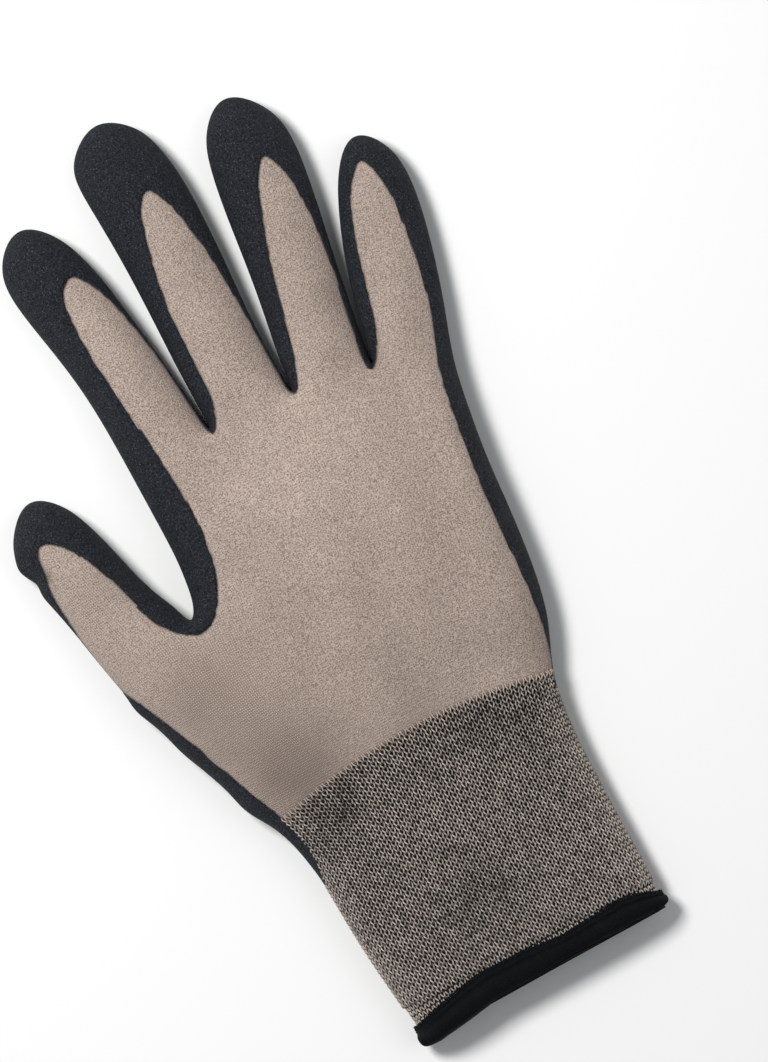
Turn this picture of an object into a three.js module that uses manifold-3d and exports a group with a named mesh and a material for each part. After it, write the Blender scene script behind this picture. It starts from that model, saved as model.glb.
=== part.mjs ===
// A knitted garden glove with a dipped coat on its palm, made for the right hand.
// It lies on its palm, with the fingers towards +Y, the thumb towards -X and its back towards +Z.
// All sizes are in millimetres.
import * as THREE from "three";
import { mergeVertices } from "three/addons/utils/BufferGeometryUtils.js";
import Module from "manifold-3d";

const wasm = await Module();
wasm.setup();

// Layers, counted inwards from the outside of the coat
const COAT_WALL = 0.8;
const LAYER_GAP = 0.3;
const LINER_WALL = 1.2;
const CUFF_WALL = 1.3;
const KNIT_DEPTH = COAT_WALL + LAYER_GAP;
const SEAM_GAP = 0.3;

// Section of the hem, which folds over the cuff's end: how deep each corner lies under the hem's outside
// and how far it lies from the hem's end
const HEM_SECTION = [
  { name: "bottom", inset: 1.75, rise: 0.0 },
  { name: "outer_low", inset: 0.5, rise: 0.5 },
  { name: "outer_top", inset: 0.0, rise: 5.4 },
  { name: "outer_lip", inset: 0.7, rise: 6.6 },
  { name: "slot_outer", inset: 0.8, rise: 2.0 },
  { name: "slot_inner", inset: 2.75, rise: 2.0 },
  { name: "inner_lip", inset: 2.8, rise: 6.4 },
  { name: "inner_top", inset: 3.5, rise: 5.4 },
  { name: "inner_low", inset: 3.0, rise: 0.5 },
];

// The tables below have the middle finger along +Y. The finished glove is turned so that its ring finger,
// whose line runs straight down to the wrist, points along +Y instead, and the middle of its outline is
// moved to the origin.
const TURN = THREE.MathUtils.degToRad(7);
const MIDDLE_X = -7.2;
const MIDDLE_Y = 10.4;

// Rows round the wrist and the hand, from the hem's end up to the thumb's crotch.
// yLeft and yRight are the row's two ends and arch lifts its middle above them; left and right are the
// outline; crown is the height of the back.
const WRIST_ROWS = [
  { yLeft: -109.6, yRight: -107.8, arch: 0.2, left: -30.6, right: 40.2, crown: 12.4 },
  { yLeft: -104.0, yRight: -101.6, arch: 1.9, left: -30.8, right: 40.0, crown: 12.6 },
  { yLeft: -80.0, yRight: -79.0, arch: 0.8, left: -34.1, right: 39.5, crown: 12.8 },
  { yLeft: -57.5, yRight: -56.5, arch: 2.4, left: -34.5, right: 39.2, crown: 13.4 },
  { yLeft: -45.3, yRight: -42.9, arch: 5.0, left: -38.4, right: 41.3, crown: 14.6 },
  { yLeft: -31.5, yRight: -30.5, arch: 2.5, left: -44.9, right: 47.0, crown: 16.2 },
  { yLeft: -11.0, yRight: -10.0, arch: 1.0, left: -52.6, right: 50.2, crown: 17.9 },
  { yLeft: 8.5, yRight: 13.0, arch: 0.0, left: -58.2, right: 51.3, crown: 18.2 },
];
const SEAM_ROW = 4;

// Rows round the palm only, from above the thumb's crotch up to the knuckles
const PALM_ROWS = [
  { yLeft: 21.0, yRight: 22.5, arch: 1.0, left: -29.2, right: 52.6, crown: 17.8 },
  { yLeft: 35.0, yRight: 32.5, arch: 2.5, left: -29.3, right: 54.0, crown: 17.0 },
  { yLeft: 50.0, yRight: 41.0, arch: 3.5, left: -29.6, right: 55.8, crown: 16.2 },
];

// Columns across the hand: the share of a cuff row's width, and the places at the crotch and the knuckles.
// A web column runs into the gap between two digits, the others into the middle of a digit; valley is the
// share of the back's height that is left over it at the knuckles.
const COLUMNS = [
  { name: "thumb_edge", share: 0.05, crotchX: -55.0, knuckleX: null, valley: 1.0 },
  { name: "thumb_middle", share: 0.14, crotchX: -46.0, knuckleX: null, valley: 1.0 },
  { name: "thumb_web", share: 0.23, crotchX: -33.4, knuckleX: -26.8, valley: 0.9 },
  { name: "index_middle", share: 0.32, crotchX: -19.5, knuckleX: -18.0, valley: 1.0 },
  { name: "index_web", share: 0.41, crotchX: -6.5, knuckleX: -6.6, valley: 0.86 },
  { name: "middle_middle", share: 0.5, crotchX: 5.0, knuckleX: 4.4, valley: 1.0 },
  { name: "middle_web", share: 0.59, crotchX: 16.3, knuckleX: 15.8, valley: 0.86 },
  { name: "ring_middle", share: 0.68, crotchX: 26.5, knuckleX: 26.2, valley: 1.0 },
  { name: "ring_web", share: 0.77, crotchX: 35.6, knuckleX: 36.4, valley: 0.86 },
  { name: "pinky_middle", share: 0.86, crotchX: 43.4, knuckleX: 46.4, valley: 1.0 },
  { name: "hand_edge", share: 0.95, crotchX: 48.6, knuckleX: 53.4, valley: 1.0 },
];
const THUMB_WEB = 2;

// Digits, a row for each section: the outline and the height of the back
const DIGITS = {
  thumb: {
    sections: [
      { y: 18.0, left: -60.2, right: -37.0, top: 15.6 },
      { y: 27.0, left: -62.1, right: -40.5, top: 15.0 },
      { y: 37.5, left: -64.4, right: -43.2, top: 14.6 },
      { y: 45.5, left: -66.1, right: -45.9, top: 13.4 },
      { y: 52.0, left: -62.6, right: -49.0, top: 10.8 },
    ],
    tip: { x: -56.0, y: 56.0 },
  },
  index: {
    sections: [
      { y: 57.0, left: -29.7, right: -7.9, top: 15.2 },
      { y: 76.0, left: -30.5, right: -9.9, top: 14.2 },
      { y: 95.0, left: -34.5, right: -13.0, top: 14.0 },
      { y: 106.0, left: -36.3, right: -15.9, top: 13.0 },
      { y: 113.5, left: -34.6, right: -19.4, top: 10.6 },
    ],
    tip: { x: -26.5, y: 118.0 },
  },
  middle: {
    sections: [
      { y: 57.5, left: -7.1, right: 15.2, top: 15.4 },
      { y: 76.0, left: -6.9, right: 15.1, top: 14.4 },
      { y: 96.0, left: -6.7, right: 16.1, top: 14.0 },
      { y: 113.0, left: -7.4, right: 16.0, top: 13.6 },
      { y: 123.0, left: -8.0, right: 13.6, top: 12.6 },
      { y: 128.5, left: -6.0, right: 11.2, top: 10.4 },
    ],
    tip: { x: 3.0, y: 132.7 },
  },
  ring: {
    sections: [
      { y: 56.5, left: 16.2, right: 37.7, top: 15.2 },
      { y: 78.0, left: 19.9, right: 41.1, top: 14.0 },
      { y: 98.0, left: 21.7, right: 44.3, top: 13.8 },
      { y: 111.0, left: 23.8, right: 45.4, top: 13.2 },
      { y: 119.0, left: 26.6, right: 42.2, top: 10.8 },
    ],
    tip: { x: 34.6, y: 123.7 },
  },
  pinky: {
    sections: [
      { y: 51.5, left: 38.2, right: 59.4, top: 14.6 },
      { y: 62.0, left: 39.9, right: 62.5, top: 13.8 },
      { y: 75.0, left: 43.2, right: 65.7, top: 13.4 },
      { y: 87.0, left: 47.9, right: 67.2, top: 12.8 },
      { y: 95.5, left: 52.4, right: 65.6, top: 10.4 },
    ],
    tip: { x: 59.6, y: 100.2 },
  },
};

// The bare back as one window in the coat, walked clockwise from its lower left corner.
// Each stretch is one edge of a digit or of the hand, from its first point to its last.
const BARE_BACK = {
  thumb_side: [[-34, -80], [-34, -62], [-33.6, -54], [-36, -45], [-42.4, -29.5], [-49, -13.5], [-55.2, -1],
    [-58.2, 5], [-60.4, 15]],
  thumb: [[-61.4, 26], [-61.4, 40], [-57.2, 45.9], [-51.2, 40.4], [-45.4, 28.5], [-41.4, 15.6]],
  thumb_web: [[-36, 9.3], [-31.8, 7.6], [-27.2, 10.4]],
  palm_edge: [[-22.3, 20], [-20.8, 35]],
  index: [[-22.3, 54], [-24.4, 72], [-25.5, 88], [-24.2, 99], [-20, 102.3], [-15.6, 97], [-11, 81.5],
    [-9, 70], [-7.8, 58]],
  index_web: [[-6.6, 51]],
  middle: [[-3.6, 58], [-3.2, 68], [-2.4, 86], [0, 99], [3.2, 109.4], [7, 112.8], [10, 108.4], [13, 95.4],
    [14.8, 75], [15.3, 59]],
  middle_web: [[16.2, 50.6]],
  ring: [[19.5, 57.5], [22.4, 69.5], [26, 83.5], [29.8, 95], [33.2, 103], [37, 106.9], [40, 101.5],
    [41, 90], [39.6, 73], [37.2, 59]],
  ring_web: [[36, 46.8]],
  pinky: [[40.4, 53], [44, 65], [47.6, 79], [52.4, 90], [58, 94.9], [60.9, 86.5], [59.9, 70], [56.7, 53]],
  hand_edge: [[51.2, 37], [48.6, 18], [47, 2], [46.5, -14], [45.4, -29], [42.4, -41.5], [39.6, -46]],
};

// The coat's lower edge on the palm side, from the hand's edge round to the thumb's side
const COAT_END = [[46, -40], [41, -45.4], [34.5, -52.6], [27, -59.4], [18, -62.8], [6, -63.6], [-20, -63.5],
  [-48, -63.5]];
const WINDOW_SIDE_Z = 7.0; // where the coat ends on a side that is bare from above
const OUTLINE_STEPS = 116;
const END_STEPS = 20;

// Folds and hollows of the back: a place, how far the hollow reaches, and how deep it is
const DENTS = [
  { name: "ring_side", x: 37.5, y: 68, reach: 5, depth: 0.9 },
  { name: "ring_root", x: 31.5, y: 50, reach: 7, depth: 0.9 },
  { name: "pinky_root", x: 51, y: 50, reach: 6, depth: 0.8 },
  { name: "thumb_tip_fold", x: -62, y: 41, reach: 3.4, depth: 1.6 },
  { name: "index_knuckle", x: -7, y: 42, reach: 8, depth: 0.7 },
  { name: "middle_knuckle", x: 16, y: 41, reach: 8, depth: 0.8 },
  { name: "thumb_web", x: -33, y: -2, reach: 10, depth: 1.0 },
  { name: "slack_back", x: -4, y: -18, reach: 20, depth: 1.0 },
  { name: "wrist_fold", x: 24, y: -34, reach: 9, depth: 0.7 },
  { name: "cuff_hollow", x: 6, y: -78, reach: 16, depth: 0.8 },
];

// Section shares: where a section's corners lie across its half width and up its height
const CORNER_SHARE = 0.74;
const SHOULDER_SHARE = 0.84;
const SIDE_SHARE = 0.45;
const LOW_CORNER_SHARE = 0.09;
const CORNER_INSET_SHARE = 0.24;
const HAND_SHOULDER = 0.83;
const HAND_SIDE = 0.46;
const CUFF_LIFT = 0.5;
const CROWN_SHARE = 1.03;
const TIP_REACH = 1.25;

// Between these two heights the dents fade in: none on the palm, all on the back
const DENTS_FROM_Z = 5;
const DENTS_FULL_Z = 10;

// Cage of the glove's outside, made of rings of points joined by four-sided faces
const cage = { points: [], faces: [] };

function addPoint(x, y, z) {
  cage.points.push(new THREE.Vector3(x, y, z));
  return cage.points.length - 1;
}

// Joins two rings of points, the second further towards the fingertips
function addStrip(lower, upper, zone) {
  lower.forEach((point, i) => {
    const next = (i + 1) % lower.length;
    cage.faces.push({ corners: [point, lower[next], upper[next], upper[i]], zone });
  });
}

// Pulls a side point out so that the smoothed outline, not the cage, has the table's width
function sideReach(edge, corner) {
  return (3 * edge - corner) / 2;
}

// Lifts a middle point so that the smoothed back, not the cage, has the table's height
function crownReach(height, shoulder) {
  return (3 * height - shoulder) / 2;
}

function rowY(row, x) {
  const along = THREE.MathUtils.clamp((x - row.left) / (row.right - row.left), 0, 1);
  return THREE.MathUtils.lerp(row.yLeft, row.yRight, along) + 4 * along * (1 - along) * row.arch;
}

// Height of the back across a row: full in the middle, rounding down towards the two edges
function backHeight(row, x) {
  const off = Math.abs((2 * (x - row.left)) / (row.right - row.left) - 1);
  return row.crown * (CROWN_SHARE - (CROWN_SHARE - HAND_SHOULDER) * off ** 4);
}

// One row of the cage: the points of the back and of the palm, column by column, and the two side points
function addRow(row, places, valleyDepth, lift) {
  const last = places.length - 1;
  const back = places.map(({ x, valley }) => {
    const drop = 1 - valleyDepth * (1 - valley);
    return addPoint(x, rowY(row, x), backHeight(row, x) * drop);
  });
  const palm = places.map(({ x }, i) => {
    const corner = i === 0 || i === last ? LOW_CORNER_SHARE * row.crown : 0;
    return addPoint(x, rowY(row, x), lift + corner);
  });
  const sideZ = HAND_SIDE * row.crown;
  const leftSide = addPoint(sideReach(row.left, places[0].x), row.yLeft, sideZ);
  const rightSide = addPoint(sideReach(row.right, places[last].x), row.yRight, sideZ);
  return { back, palm, leftSide, rightSide };
}

function ringOf({ back, palm, leftSide, rightSide }) {
  return [...back, rightSide, ...[...palm].reverse(), leftSide];
}

// Columns of a row below the thumb's crotch, which open out from the cuff to the crotch
function wristPlaces(row, spread) {
  return COLUMNS.map(({ share, crotchX, valley }, i) => {
    const even = THREE.MathUtils.lerp(row.left, row.right, share);
    let x = THREE.MathUtils.lerp(even, crotchX, spread);
    if (i === 0) x = row.left + CORNER_INSET_SHARE * row.crown;
    if (i === COLUMNS.length - 1) x = row.right - CORNER_INSET_SHARE * row.crown;
    return { x, valley };
  });
}

function palmPlaces(row, spread) {
  return COLUMNS.slice(THUMB_WEB).map(({ crotchX, knuckleX, valley }, i, list) => {
    let x = THREE.MathUtils.lerp(crotchX, knuckleX, spread);
    if (i === 0) x = row.left + CORNER_INSET_SHARE * row.crown;
    if (i === list.length - 1) x = row.right - CORNER_INSET_SHARE * row.crown;
    return { x, valley };
  });
}

// One ring of eight points round a digit, in the order of a row's ring
function digitRing({ y, left, right, top }) {
  const middle = (left + right) / 2;
  const half = (right - left) / 2;
  const cornerX = CORNER_SHARE * half;
  const sideX = sideReach(half, cornerX);
  const shoulder = SHOULDER_SHARE * top;
  const low = LOW_CORNER_SHARE * top;
  const side = SIDE_SHARE * top;
  return [
    addPoint(middle - cornerX, y, shoulder),
    addPoint(middle, y, crownReach(top, shoulder)),
    addPoint(middle + cornerX, y, shoulder),
    addPoint(middle + sideX, y, side),
    addPoint(middle + cornerX, y, low),
    addPoint(middle, y, 0),
    addPoint(middle - cornerX, y, low),
    addPoint(middle - sideX, y, side),
  ];
}

// A digit from its root ring to its closed tip
function addDigit(root, { sections, tip }, zone) {
  const rings = [root, ...sections.map(digitRing)];
  rings.slice(1).forEach((ring, i) => addStrip(rings[i], ring, zone));
  const end = rings[rings.length - 1];
  const last = sections[sections.length - 1];
  const centre = addPoint(tip.x, tip.y + TIP_REACH * (tip.y - last.y), SIDE_SHARE * last.top);
  for (let i = 0; i < end.length; i += 2) {
    const before = end[(i + end.length - 1) % end.length];
    cage.faces.push({ corners: [before, end[i], end[i + 1], centre], zone });
  }
}

// Wrist and hand up to the thumb's crotch
const seamToCrotch = WRIST_ROWS.length - 1 - SEAM_ROW;
const wristRows = WRIST_ROWS.map((row, i) => {
  const spread = THREE.MathUtils.clamp((i - SEAM_ROW) / seamToCrotch, 0, 1);
  const lift = i > 0 && i < SEAM_ROW ? CUFF_LIFT : 0;
  return addRow(row, wristPlaces(row, spread), spread, lift);
});
wristRows.slice(1).forEach((row, i) => {
  addStrip(ringOf(wristRows[i]), ringOf(row), i < SEAM_ROW ? "cuff" : "hand");
});

// The thumb leaves the hand at its crotch, and the palm goes on
const crotch = wristRows[wristRows.length - 1];

function webPoint(row, column) {
  const top = cage.points[row.back[column]];
  return addPoint(top.x, top.y, SIDE_SHARE * top.z);
}

const thumbWebPoint = webPoint(crotch, THUMB_WEB);
const thumbRoot = ringOf({
  back: crotch.back.slice(0, THUMB_WEB + 1),
  palm: crotch.palm.slice(0, THUMB_WEB + 1),
  leftSide: crotch.leftSide,
  rightSide: thumbWebPoint,
});
addDigit(thumbRoot, DIGITS.thumb, "hand");
const palmRoot = {
  back: crotch.back.slice(THUMB_WEB),
  palm: crotch.palm.slice(THUMB_WEB),
  leftSide: thumbWebPoint,
  rightSide: crotch.rightSide,
};
const palmRows = [
  palmRoot,
  ...PALM_ROWS.map((row, i) => {
    const spread = (i + 1) / PALM_ROWS.length;
    return addRow(row, palmPlaces(row, spread), spread, 0);
  }),
];
palmRows.slice(1).forEach((row, i) => addStrip(ringOf(palmRows[i]), ringOf(row), "hand"));

// The four fingers leave the knuckle row, and neighbours share the web points between them
const knuckles = palmRows[palmRows.length - 1];
const FINGERS = ["index", "middle", "ring", "pinky"];
const fingerWebs = [2, 4, 6].map((column) => webPoint(knuckles, column));
FINGERS.forEach((name, i) => {
  const root = ringOf({
    back: knuckles.back.slice(2 * i, 2 * i + 3),
    palm: knuckles.palm.slice(2 * i, 2 * i + 3),
    leftSide: i === 0 ? knuckles.leftSide : fingerWebs[i - 1],
    rightSide: i === FINGERS.length - 1 ? knuckles.rightSide : fingerWebs[i],
  });
  addDigit(root, DIGITS[name], "hand");
});

// One step of Catmull-Clark smoothing; the first points of the result stand for the cage's own points
function smoothed({ points, faces }) {
  const edges = new Map();
  const edgeOf = (a, b) => {
    const key = a < b ? `${a}_${b}` : `${b}_${a}`;
    if (!edges.has(key)) edges.set(key, { a, b, faces: [], index: points.length + edges.size });
    return edges.get(key);
  };
  const around = points.map(() => ({ faces: [], edges: new Set() }));
  const centres = faces.map(({ corners }, f) => {
    const centre = new THREE.Vector3();
    corners.forEach((corner, i) => {
      centre.addScaledVector(points[corner], 1 / corners.length);
      const edge = edgeOf(corner, corners[(i + 1) % corners.length]);
      edge.faces.push(f);
      around[corner].faces.push(f);
      around[corner].edges.add(edge);
      around[corners[(i + 1) % corners.length]].edges.add(edge);
    });
    return centre;
  });
  const edgeList = [...edges.values()];
  const moved = points.map((point, v) => {
    const rim = [...around[v].edges].filter((edge) => edge.faces.length === 1);
    if (rim.length) {
      const result = point.clone().multiplyScalar(0.75);
      rim.forEach(({ a, b }) => result.addScaledVector(points[a === v ? b : a], 0.125));
      return result;
    }
    const count = around[v].faces.length;
    const result = point.clone().multiplyScalar((count - 2) / count);
    around[v].faces.forEach((f) => result.addScaledVector(centres[f], 1 / count ** 2));
    around[v].edges.forEach(({ a, b }) => result.addScaledVector(points[a === v ? b : a], 1 / count ** 2));
    return result;
  });
  const edgePoints = edgeList.map(({ a, b, faces: sides }) => {
    const result = points[a].clone().add(points[b]);
    if (sides.length < 2) return result.multiplyScalar(0.5);
    sides.forEach((f) => result.add(centres[f]));
    return result.multiplyScalar(0.25);
  });
  const firstCentre = points.length + edgeList.length;
  const smaller = faces.flatMap(({ corners, zone }, f) =>
    corners.map((corner, i) => {
      const after = edgeOf(corner, corners[(i + 1) % corners.length]).index;
      const before = edgeOf(corners[(i + corners.length - 1) % corners.length], corner).index;
      return { corners: [corner, after, firstCentre + f, before], zone, parent: f };
    }),
  );
  return { points: [...moved, ...edgePoints, ...centres], faces: smaller };
}

// Presses the folds and hollows into the back
function dented({ points, faces }) {
  const pressed = points.map((point) => {
    const backShare = THREE.MathUtils.smoothstep(point.z, DENTS_FROM_Z, DENTS_FULL_Z);
    const drop = DENTS.reduce((sum, { x, y, reach, depth }) => {
      const distance = Math.hypot(point.x - x, point.y - y);
      return sum + depth * Math.exp(-((distance / reach) ** 2));
    }, 0);
    return new THREE.Vector3(point.x, point.y, point.z - drop * backShare);
  });
  return { points: pressed, faces };
}

const outside = dented(smoothed(cage));

// Outward direction at each point, from the faces around it
function normalsOf({ points, faces }) {
  const normals = points.map(() => new THREE.Vector3());
  faces.forEach(({ corners: [a, b, c, d] }) => {
    const across = points[c].clone().sub(points[a]);
    const along = points[d].clone().sub(points[b]);
    const normal = across.cross(along);
    [a, b, c, d].forEach((corner) => normals[corner].add(normal));
  });
  return normals.map((normal) => normal.normalize());
}

const outsideNormals = normalsOf(outside);

function pointAtDepth(index, depth) {
  return outside.points[index].clone().addScaledVector(outsideNormals[index], -depth);
}

// Collects triangles and gives them as a solid
class Skin {
  constructor() {
    this.positions = [];
  }

  triangle(a, b, c) {
    [a, b, c].forEach((point) => this.positions.push(point.x, point.y, point.z));
  }

  quad(a, b, c, d) {
    this.triangle(a, b, c);
    this.triangle(a, c, d);
  }

  geometry() {
    const geometry = new THREE.BufferGeometry();
    geometry.setAttribute("position", new THREE.Float32BufferAttribute(this.positions, 3));
    return mergeVertices(geometry, 1e-4);
  }
}

// Edges of a set of faces that only one of them has, as pairs in walking order
function rimEdges(faces) {
  const seen = new Map();
  faces.forEach(({ corners }) => {
    corners.forEach((corner, i) => {
      const next = corners[(i + 1) % corners.length];
      if (!seen.delete(`${next}_${corner}`)) seen.set(`${corner}_${next}`, [corner, next]);
    });
  });
  return [...seen.values()];
}

// A wall between two depths under the glove's outside. coarse gives the inner surface the cage's own
// few faces. shift moves the wall's open edge along the glove, to part it from its neighbour.
function wallOf(keep, outerDepth, innerDepth, { coarse, shift }) {
  const faces = outside.faces.filter(keep);
  const inner = coarse ? cage.faces.filter(keep) : faces;
  const rim = rimEdges(faces);
  const atRim = new Set(rim.flat());
  const place = (index, depth) => {
    const point = pointAtDepth(index, depth);
    if (atRim.has(index)) point.y += shift(point);
    return point;
  };
  const skin = new Skin();
  faces.forEach(({ corners }) => skin.quad(...corners.map((corner) => place(corner, outerDepth))));
  inner.forEach(({ corners }) => {
    skin.quad(...[...corners].reverse().map((corner) => place(corner, innerDepth)));
  });
  if (!coarse) {
    rim.forEach(([a, b]) => {
      skin.quad(place(b, outerDepth), place(a, outerDepth), place(a, innerDepth), place(b, innerDepth));
    });
    return skin.geometry();
  }
  const following = new Map(rim);
  rimEdges(inner).forEach(([a, b]) => {
    const halfway = following.get(a);
    skin.triangle(place(halfway, outerDepth), place(a, outerDepth), place(a, innerDepth));
    skin.triangle(place(halfway, outerDepth), place(a, innerDepth), place(b, innerDepth));
    skin.triangle(place(b, outerDepth), place(halfway, outerDepth), place(b, innerDepth));
  });
  return skin.geometry();
}

const inHand = ({ zone }) => zone === "hand";
const inCuff = ({ zone }) => zone === "cuff";

const linerGeometry = wallOf(inHand, KNIT_DEPTH, KNIT_DEPTH + LINER_WALL, {
  coarse: true,
  shift: () => SEAM_GAP / 2,
});

// The cuff runs down into the fold of its hem
const slotEnd = HEM_SECTION.find(({ name }) => name === "slot_outer").rise;
const cuffGeometry = wallOf(inCuff, KNIT_DEPTH, KNIT_DEPTH + CUFF_WALL, {
  coarse: false,
  shift: (point) => (point.y > WRIST_ROWS[2].yLeft ? -SEAM_GAP / 2 : slotEnd + SEAM_GAP),
});

// The hem follows the cuff's end, with its section set square to the cuff
function hemBand() {
  const end = rimEdges(outside.faces.filter(inCuff)).filter(([a]) => {
    return outside.points[a].y < WRIST_ROWS[2].yLeft;
  });
  const following = new Map(end);
  const above = new Map();
  outside.faces.forEach(({ corners }) => {
    corners.forEach((corner, i) => {
      if (following.get(corner) !== corners[(i + 1) % 4]) return;
      above.set(corner, corners[(i + 3) % 4]);
      above.set(corners[(i + 1) % 4], corners[(i + 2) % 4]);
    });
  });
  const sectionAt = (index) => {
    const upward = outside.points[above.get(index)].clone().sub(outside.points[index]).normalize();
    return HEM_SECTION.map(({ inset, rise }) => pointAtDepth(index, inset).addScaledVector(upward, rise));
  };
  const skin = new Skin();
  end.forEach(([a, b]) => {
    const here = sectionAt(a);
    const there = sectionAt(b);
    here.forEach((point, i) => {
      const next = (i + 1) % here.length;
      skin.quad(point, there[i], there[next], here[next]);
    });
  });
  return skin.geometry();
}

// Solids for cutting and joining
function solidOf(geometry) {
  const bare = geometry.clone();
  bare.deleteAttribute("normal");
  bare.deleteAttribute("uv");
  const merged = mergeVertices(bare, 1e-4);
  return new wasm.Manifold(
    new wasm.Mesh({
      numProp: 3,
      vertProperties: merged.attributes.position.array,
      triVerts: new Uint32Array(merged.index.array),
    }),
  );
}

function geometryOf(solid) {
  const { vertProperties, triVerts } = solid.getMesh();
  const geometry = new THREE.BufferGeometry();
  geometry.setAttribute("position", new THREE.BufferAttribute(vertProperties, 3));
  geometry.setIndex(new THREE.BufferAttribute(triVerts, 1));
  return geometry;
}

// An upright block over a smooth closed outline
function blockOver(points, bottom, top) {
  const shape = new THREE.Shape(points);
  const block = new THREE.ExtrudeGeometry(shape, { depth: top - bottom, bevelEnabled: false });
  block.translate(0, 0, bottom);
  return solidOf(block);
}

function toPoints(pairs) {
  return pairs.map(([x, y]) => new THREE.Vector3(x, y, 0));
}

function smoothLine(pairs, steps) {
  return new THREE.CatmullRomCurve3(toPoints(pairs), false, "centripetal").getSpacedPoints(steps);
}

const WINDOW_FOOT = [[60, -60], [60, -80]];
const END_LEFT = [[-48, -100]];
const END_RIGHT = [[80, -100], [80, -40]];
const BLOCK_TOP = 40;
const windowLine = smoothLine(Object.values(BARE_BACK).flat(), OUTLINE_STEPS);
const windowBlock = blockOver([...windowLine, ...toPoints(WINDOW_FOOT)], WINDOW_SIDE_Z, BLOCK_TOP);
const endLine = smoothLine(COAT_END, END_STEPS);
const endOutline = [...endLine, ...toPoints(END_LEFT), ...toPoints(END_RIGHT)];
const endBlock = blockOver(endOutline, -BLOCK_TOP, BLOCK_TOP);

// The coat, first whole down to the cuff's middle, then cut to its window and its lower edge
const COAT_FIRST_STRIP = 2;
const columnsAround = 2 * COLUMNS.length + 2;
const inCoat = ({ zone, parent }) => zone === "hand" || parent >= COAT_FIRST_STRIP * columnsAround;
const wholeCoat = wallOf(inCoat, 0, COAT_WALL, { coarse: false, shift: () => 0 });
const CUT_SLACK = 0.03;
const cutCoat = solidOf(wholeCoat).subtract(windowBlock).subtract(endBlock).simplify(CUT_SLACK);
const coatGeometry = geometryOf(cutCoat);

const linerKnit = new THREE.MeshStandardMaterial({ name: "knit", color: 0xb3a597, roughness: 0.95 });
const dippedCoat = new THREE.MeshStandardMaterial({ name: "coating", color: 0x2b2e33, roughness: 0.75 });
const cuffKnit = new THREE.MeshStandardMaterial({ name: "cuff", color: 0x6c655e, roughness: 0.95 });
const hemThread = new THREE.MeshStandardMaterial({ name: "hem", color: 0x1a1c1f, roughness: 0.9 });

function named(name, geometry, material) {
  const mesh = new THREE.Mesh(geometry, material);
  mesh.name = name;
  mesh.rotation.z = TURN;
  mesh.position.set(-MIDDLE_X, -MIDDLE_Y, 0);
  return mesh;
}

const glove = new THREE.Group();
glove.add(named("hand_shell", linerGeometry, linerKnit));
glove.add(named("palm_coating", coatGeometry, dippedCoat));
glove.add(named("wrist_cuff", cuffGeometry, cuffKnit));
glove.add(named("hem_binding", hemBand(), hemThread));

export default glove;
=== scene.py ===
# %% [markdown]
# A knitted garden glove with a dipped grip coat, lying on its palm.
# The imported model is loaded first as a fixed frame. It gives the places of the four real pieces: the
# knitted hand, the coat on its palm and fingertips, the elastic cuff and the overlocked hem. Every piece
# made here takes the place of one of them and keeps its form.

# %% Load the frame
import math

import bmesh
import bpy
import numpy as np
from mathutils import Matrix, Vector
from mathutils.kdtree import KDTree


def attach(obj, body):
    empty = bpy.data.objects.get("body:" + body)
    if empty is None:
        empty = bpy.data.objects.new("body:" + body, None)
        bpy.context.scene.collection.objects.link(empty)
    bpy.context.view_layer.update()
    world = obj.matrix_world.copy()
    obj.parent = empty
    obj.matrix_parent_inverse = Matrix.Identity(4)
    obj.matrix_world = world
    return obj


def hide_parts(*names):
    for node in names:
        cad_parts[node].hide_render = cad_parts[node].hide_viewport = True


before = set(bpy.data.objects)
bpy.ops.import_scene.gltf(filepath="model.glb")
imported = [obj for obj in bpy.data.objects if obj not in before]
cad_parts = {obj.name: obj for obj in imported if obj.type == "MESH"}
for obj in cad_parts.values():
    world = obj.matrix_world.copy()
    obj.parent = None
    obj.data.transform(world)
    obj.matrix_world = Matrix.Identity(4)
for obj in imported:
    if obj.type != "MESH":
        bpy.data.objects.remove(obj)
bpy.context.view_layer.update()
print("frame nodes:", sorted(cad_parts))

# %% [markdown]
# A glove that was knitted round and then flattened is one skin: a flat tube for the wrist that opens out
# into a palm and splits into five digits. It could be sculpted, or simulated from a flat pattern. Here it
# is a cage of a few rings of points, each taken from a short table of real sizes, because a cage is easy
# to correct against the real thing and its faces already run along the knit. All sizes are millimetres.


# %% Tables of the glove's form
def table(columns, *rows):
    """Rows of values as dictionaries, under the names of the columns."""
    return [dict(zip(columns.split(), row)) for row in rows]


WRIST_ROWS = table(
    "y_left y_right arch left right crown",
    (-109.6, -107.8, 0.2, -30.6, 40.2, 12.4),
    (-104.0, -101.6, 1.9, -30.8, 40.0, 12.6),
    (-80.0, -79.0, 0.8, -34.1, 39.5, 12.8),
    (-57.5, -56.5, 2.4, -34.5, 39.2, 13.4),
    (-45.5, -42.2, 7.0, -38.4, 41.3, 14.6),
    (-31.5, -30.5, 2.5, -44.9, 47.0, 16.2),
    (-11.0, -10.0, 1.0, -52.6, 50.2, 17.9),
    (6.0, 13.0, 0.0, -58.2, 51.3, 18.2),
)
SEAM_ROW = 4
PALM_ROWS = table(
    "y_left y_right arch left right crown",
    (21.0, 22.5, 1.0, -29.2, 52.6, 17.8),
    (35.0, 32.5, 2.5, -29.3, 54.0, 17.0),
    (50.0, 41.0, 3.5, -29.6, 55.8, 16.2),
)
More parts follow.
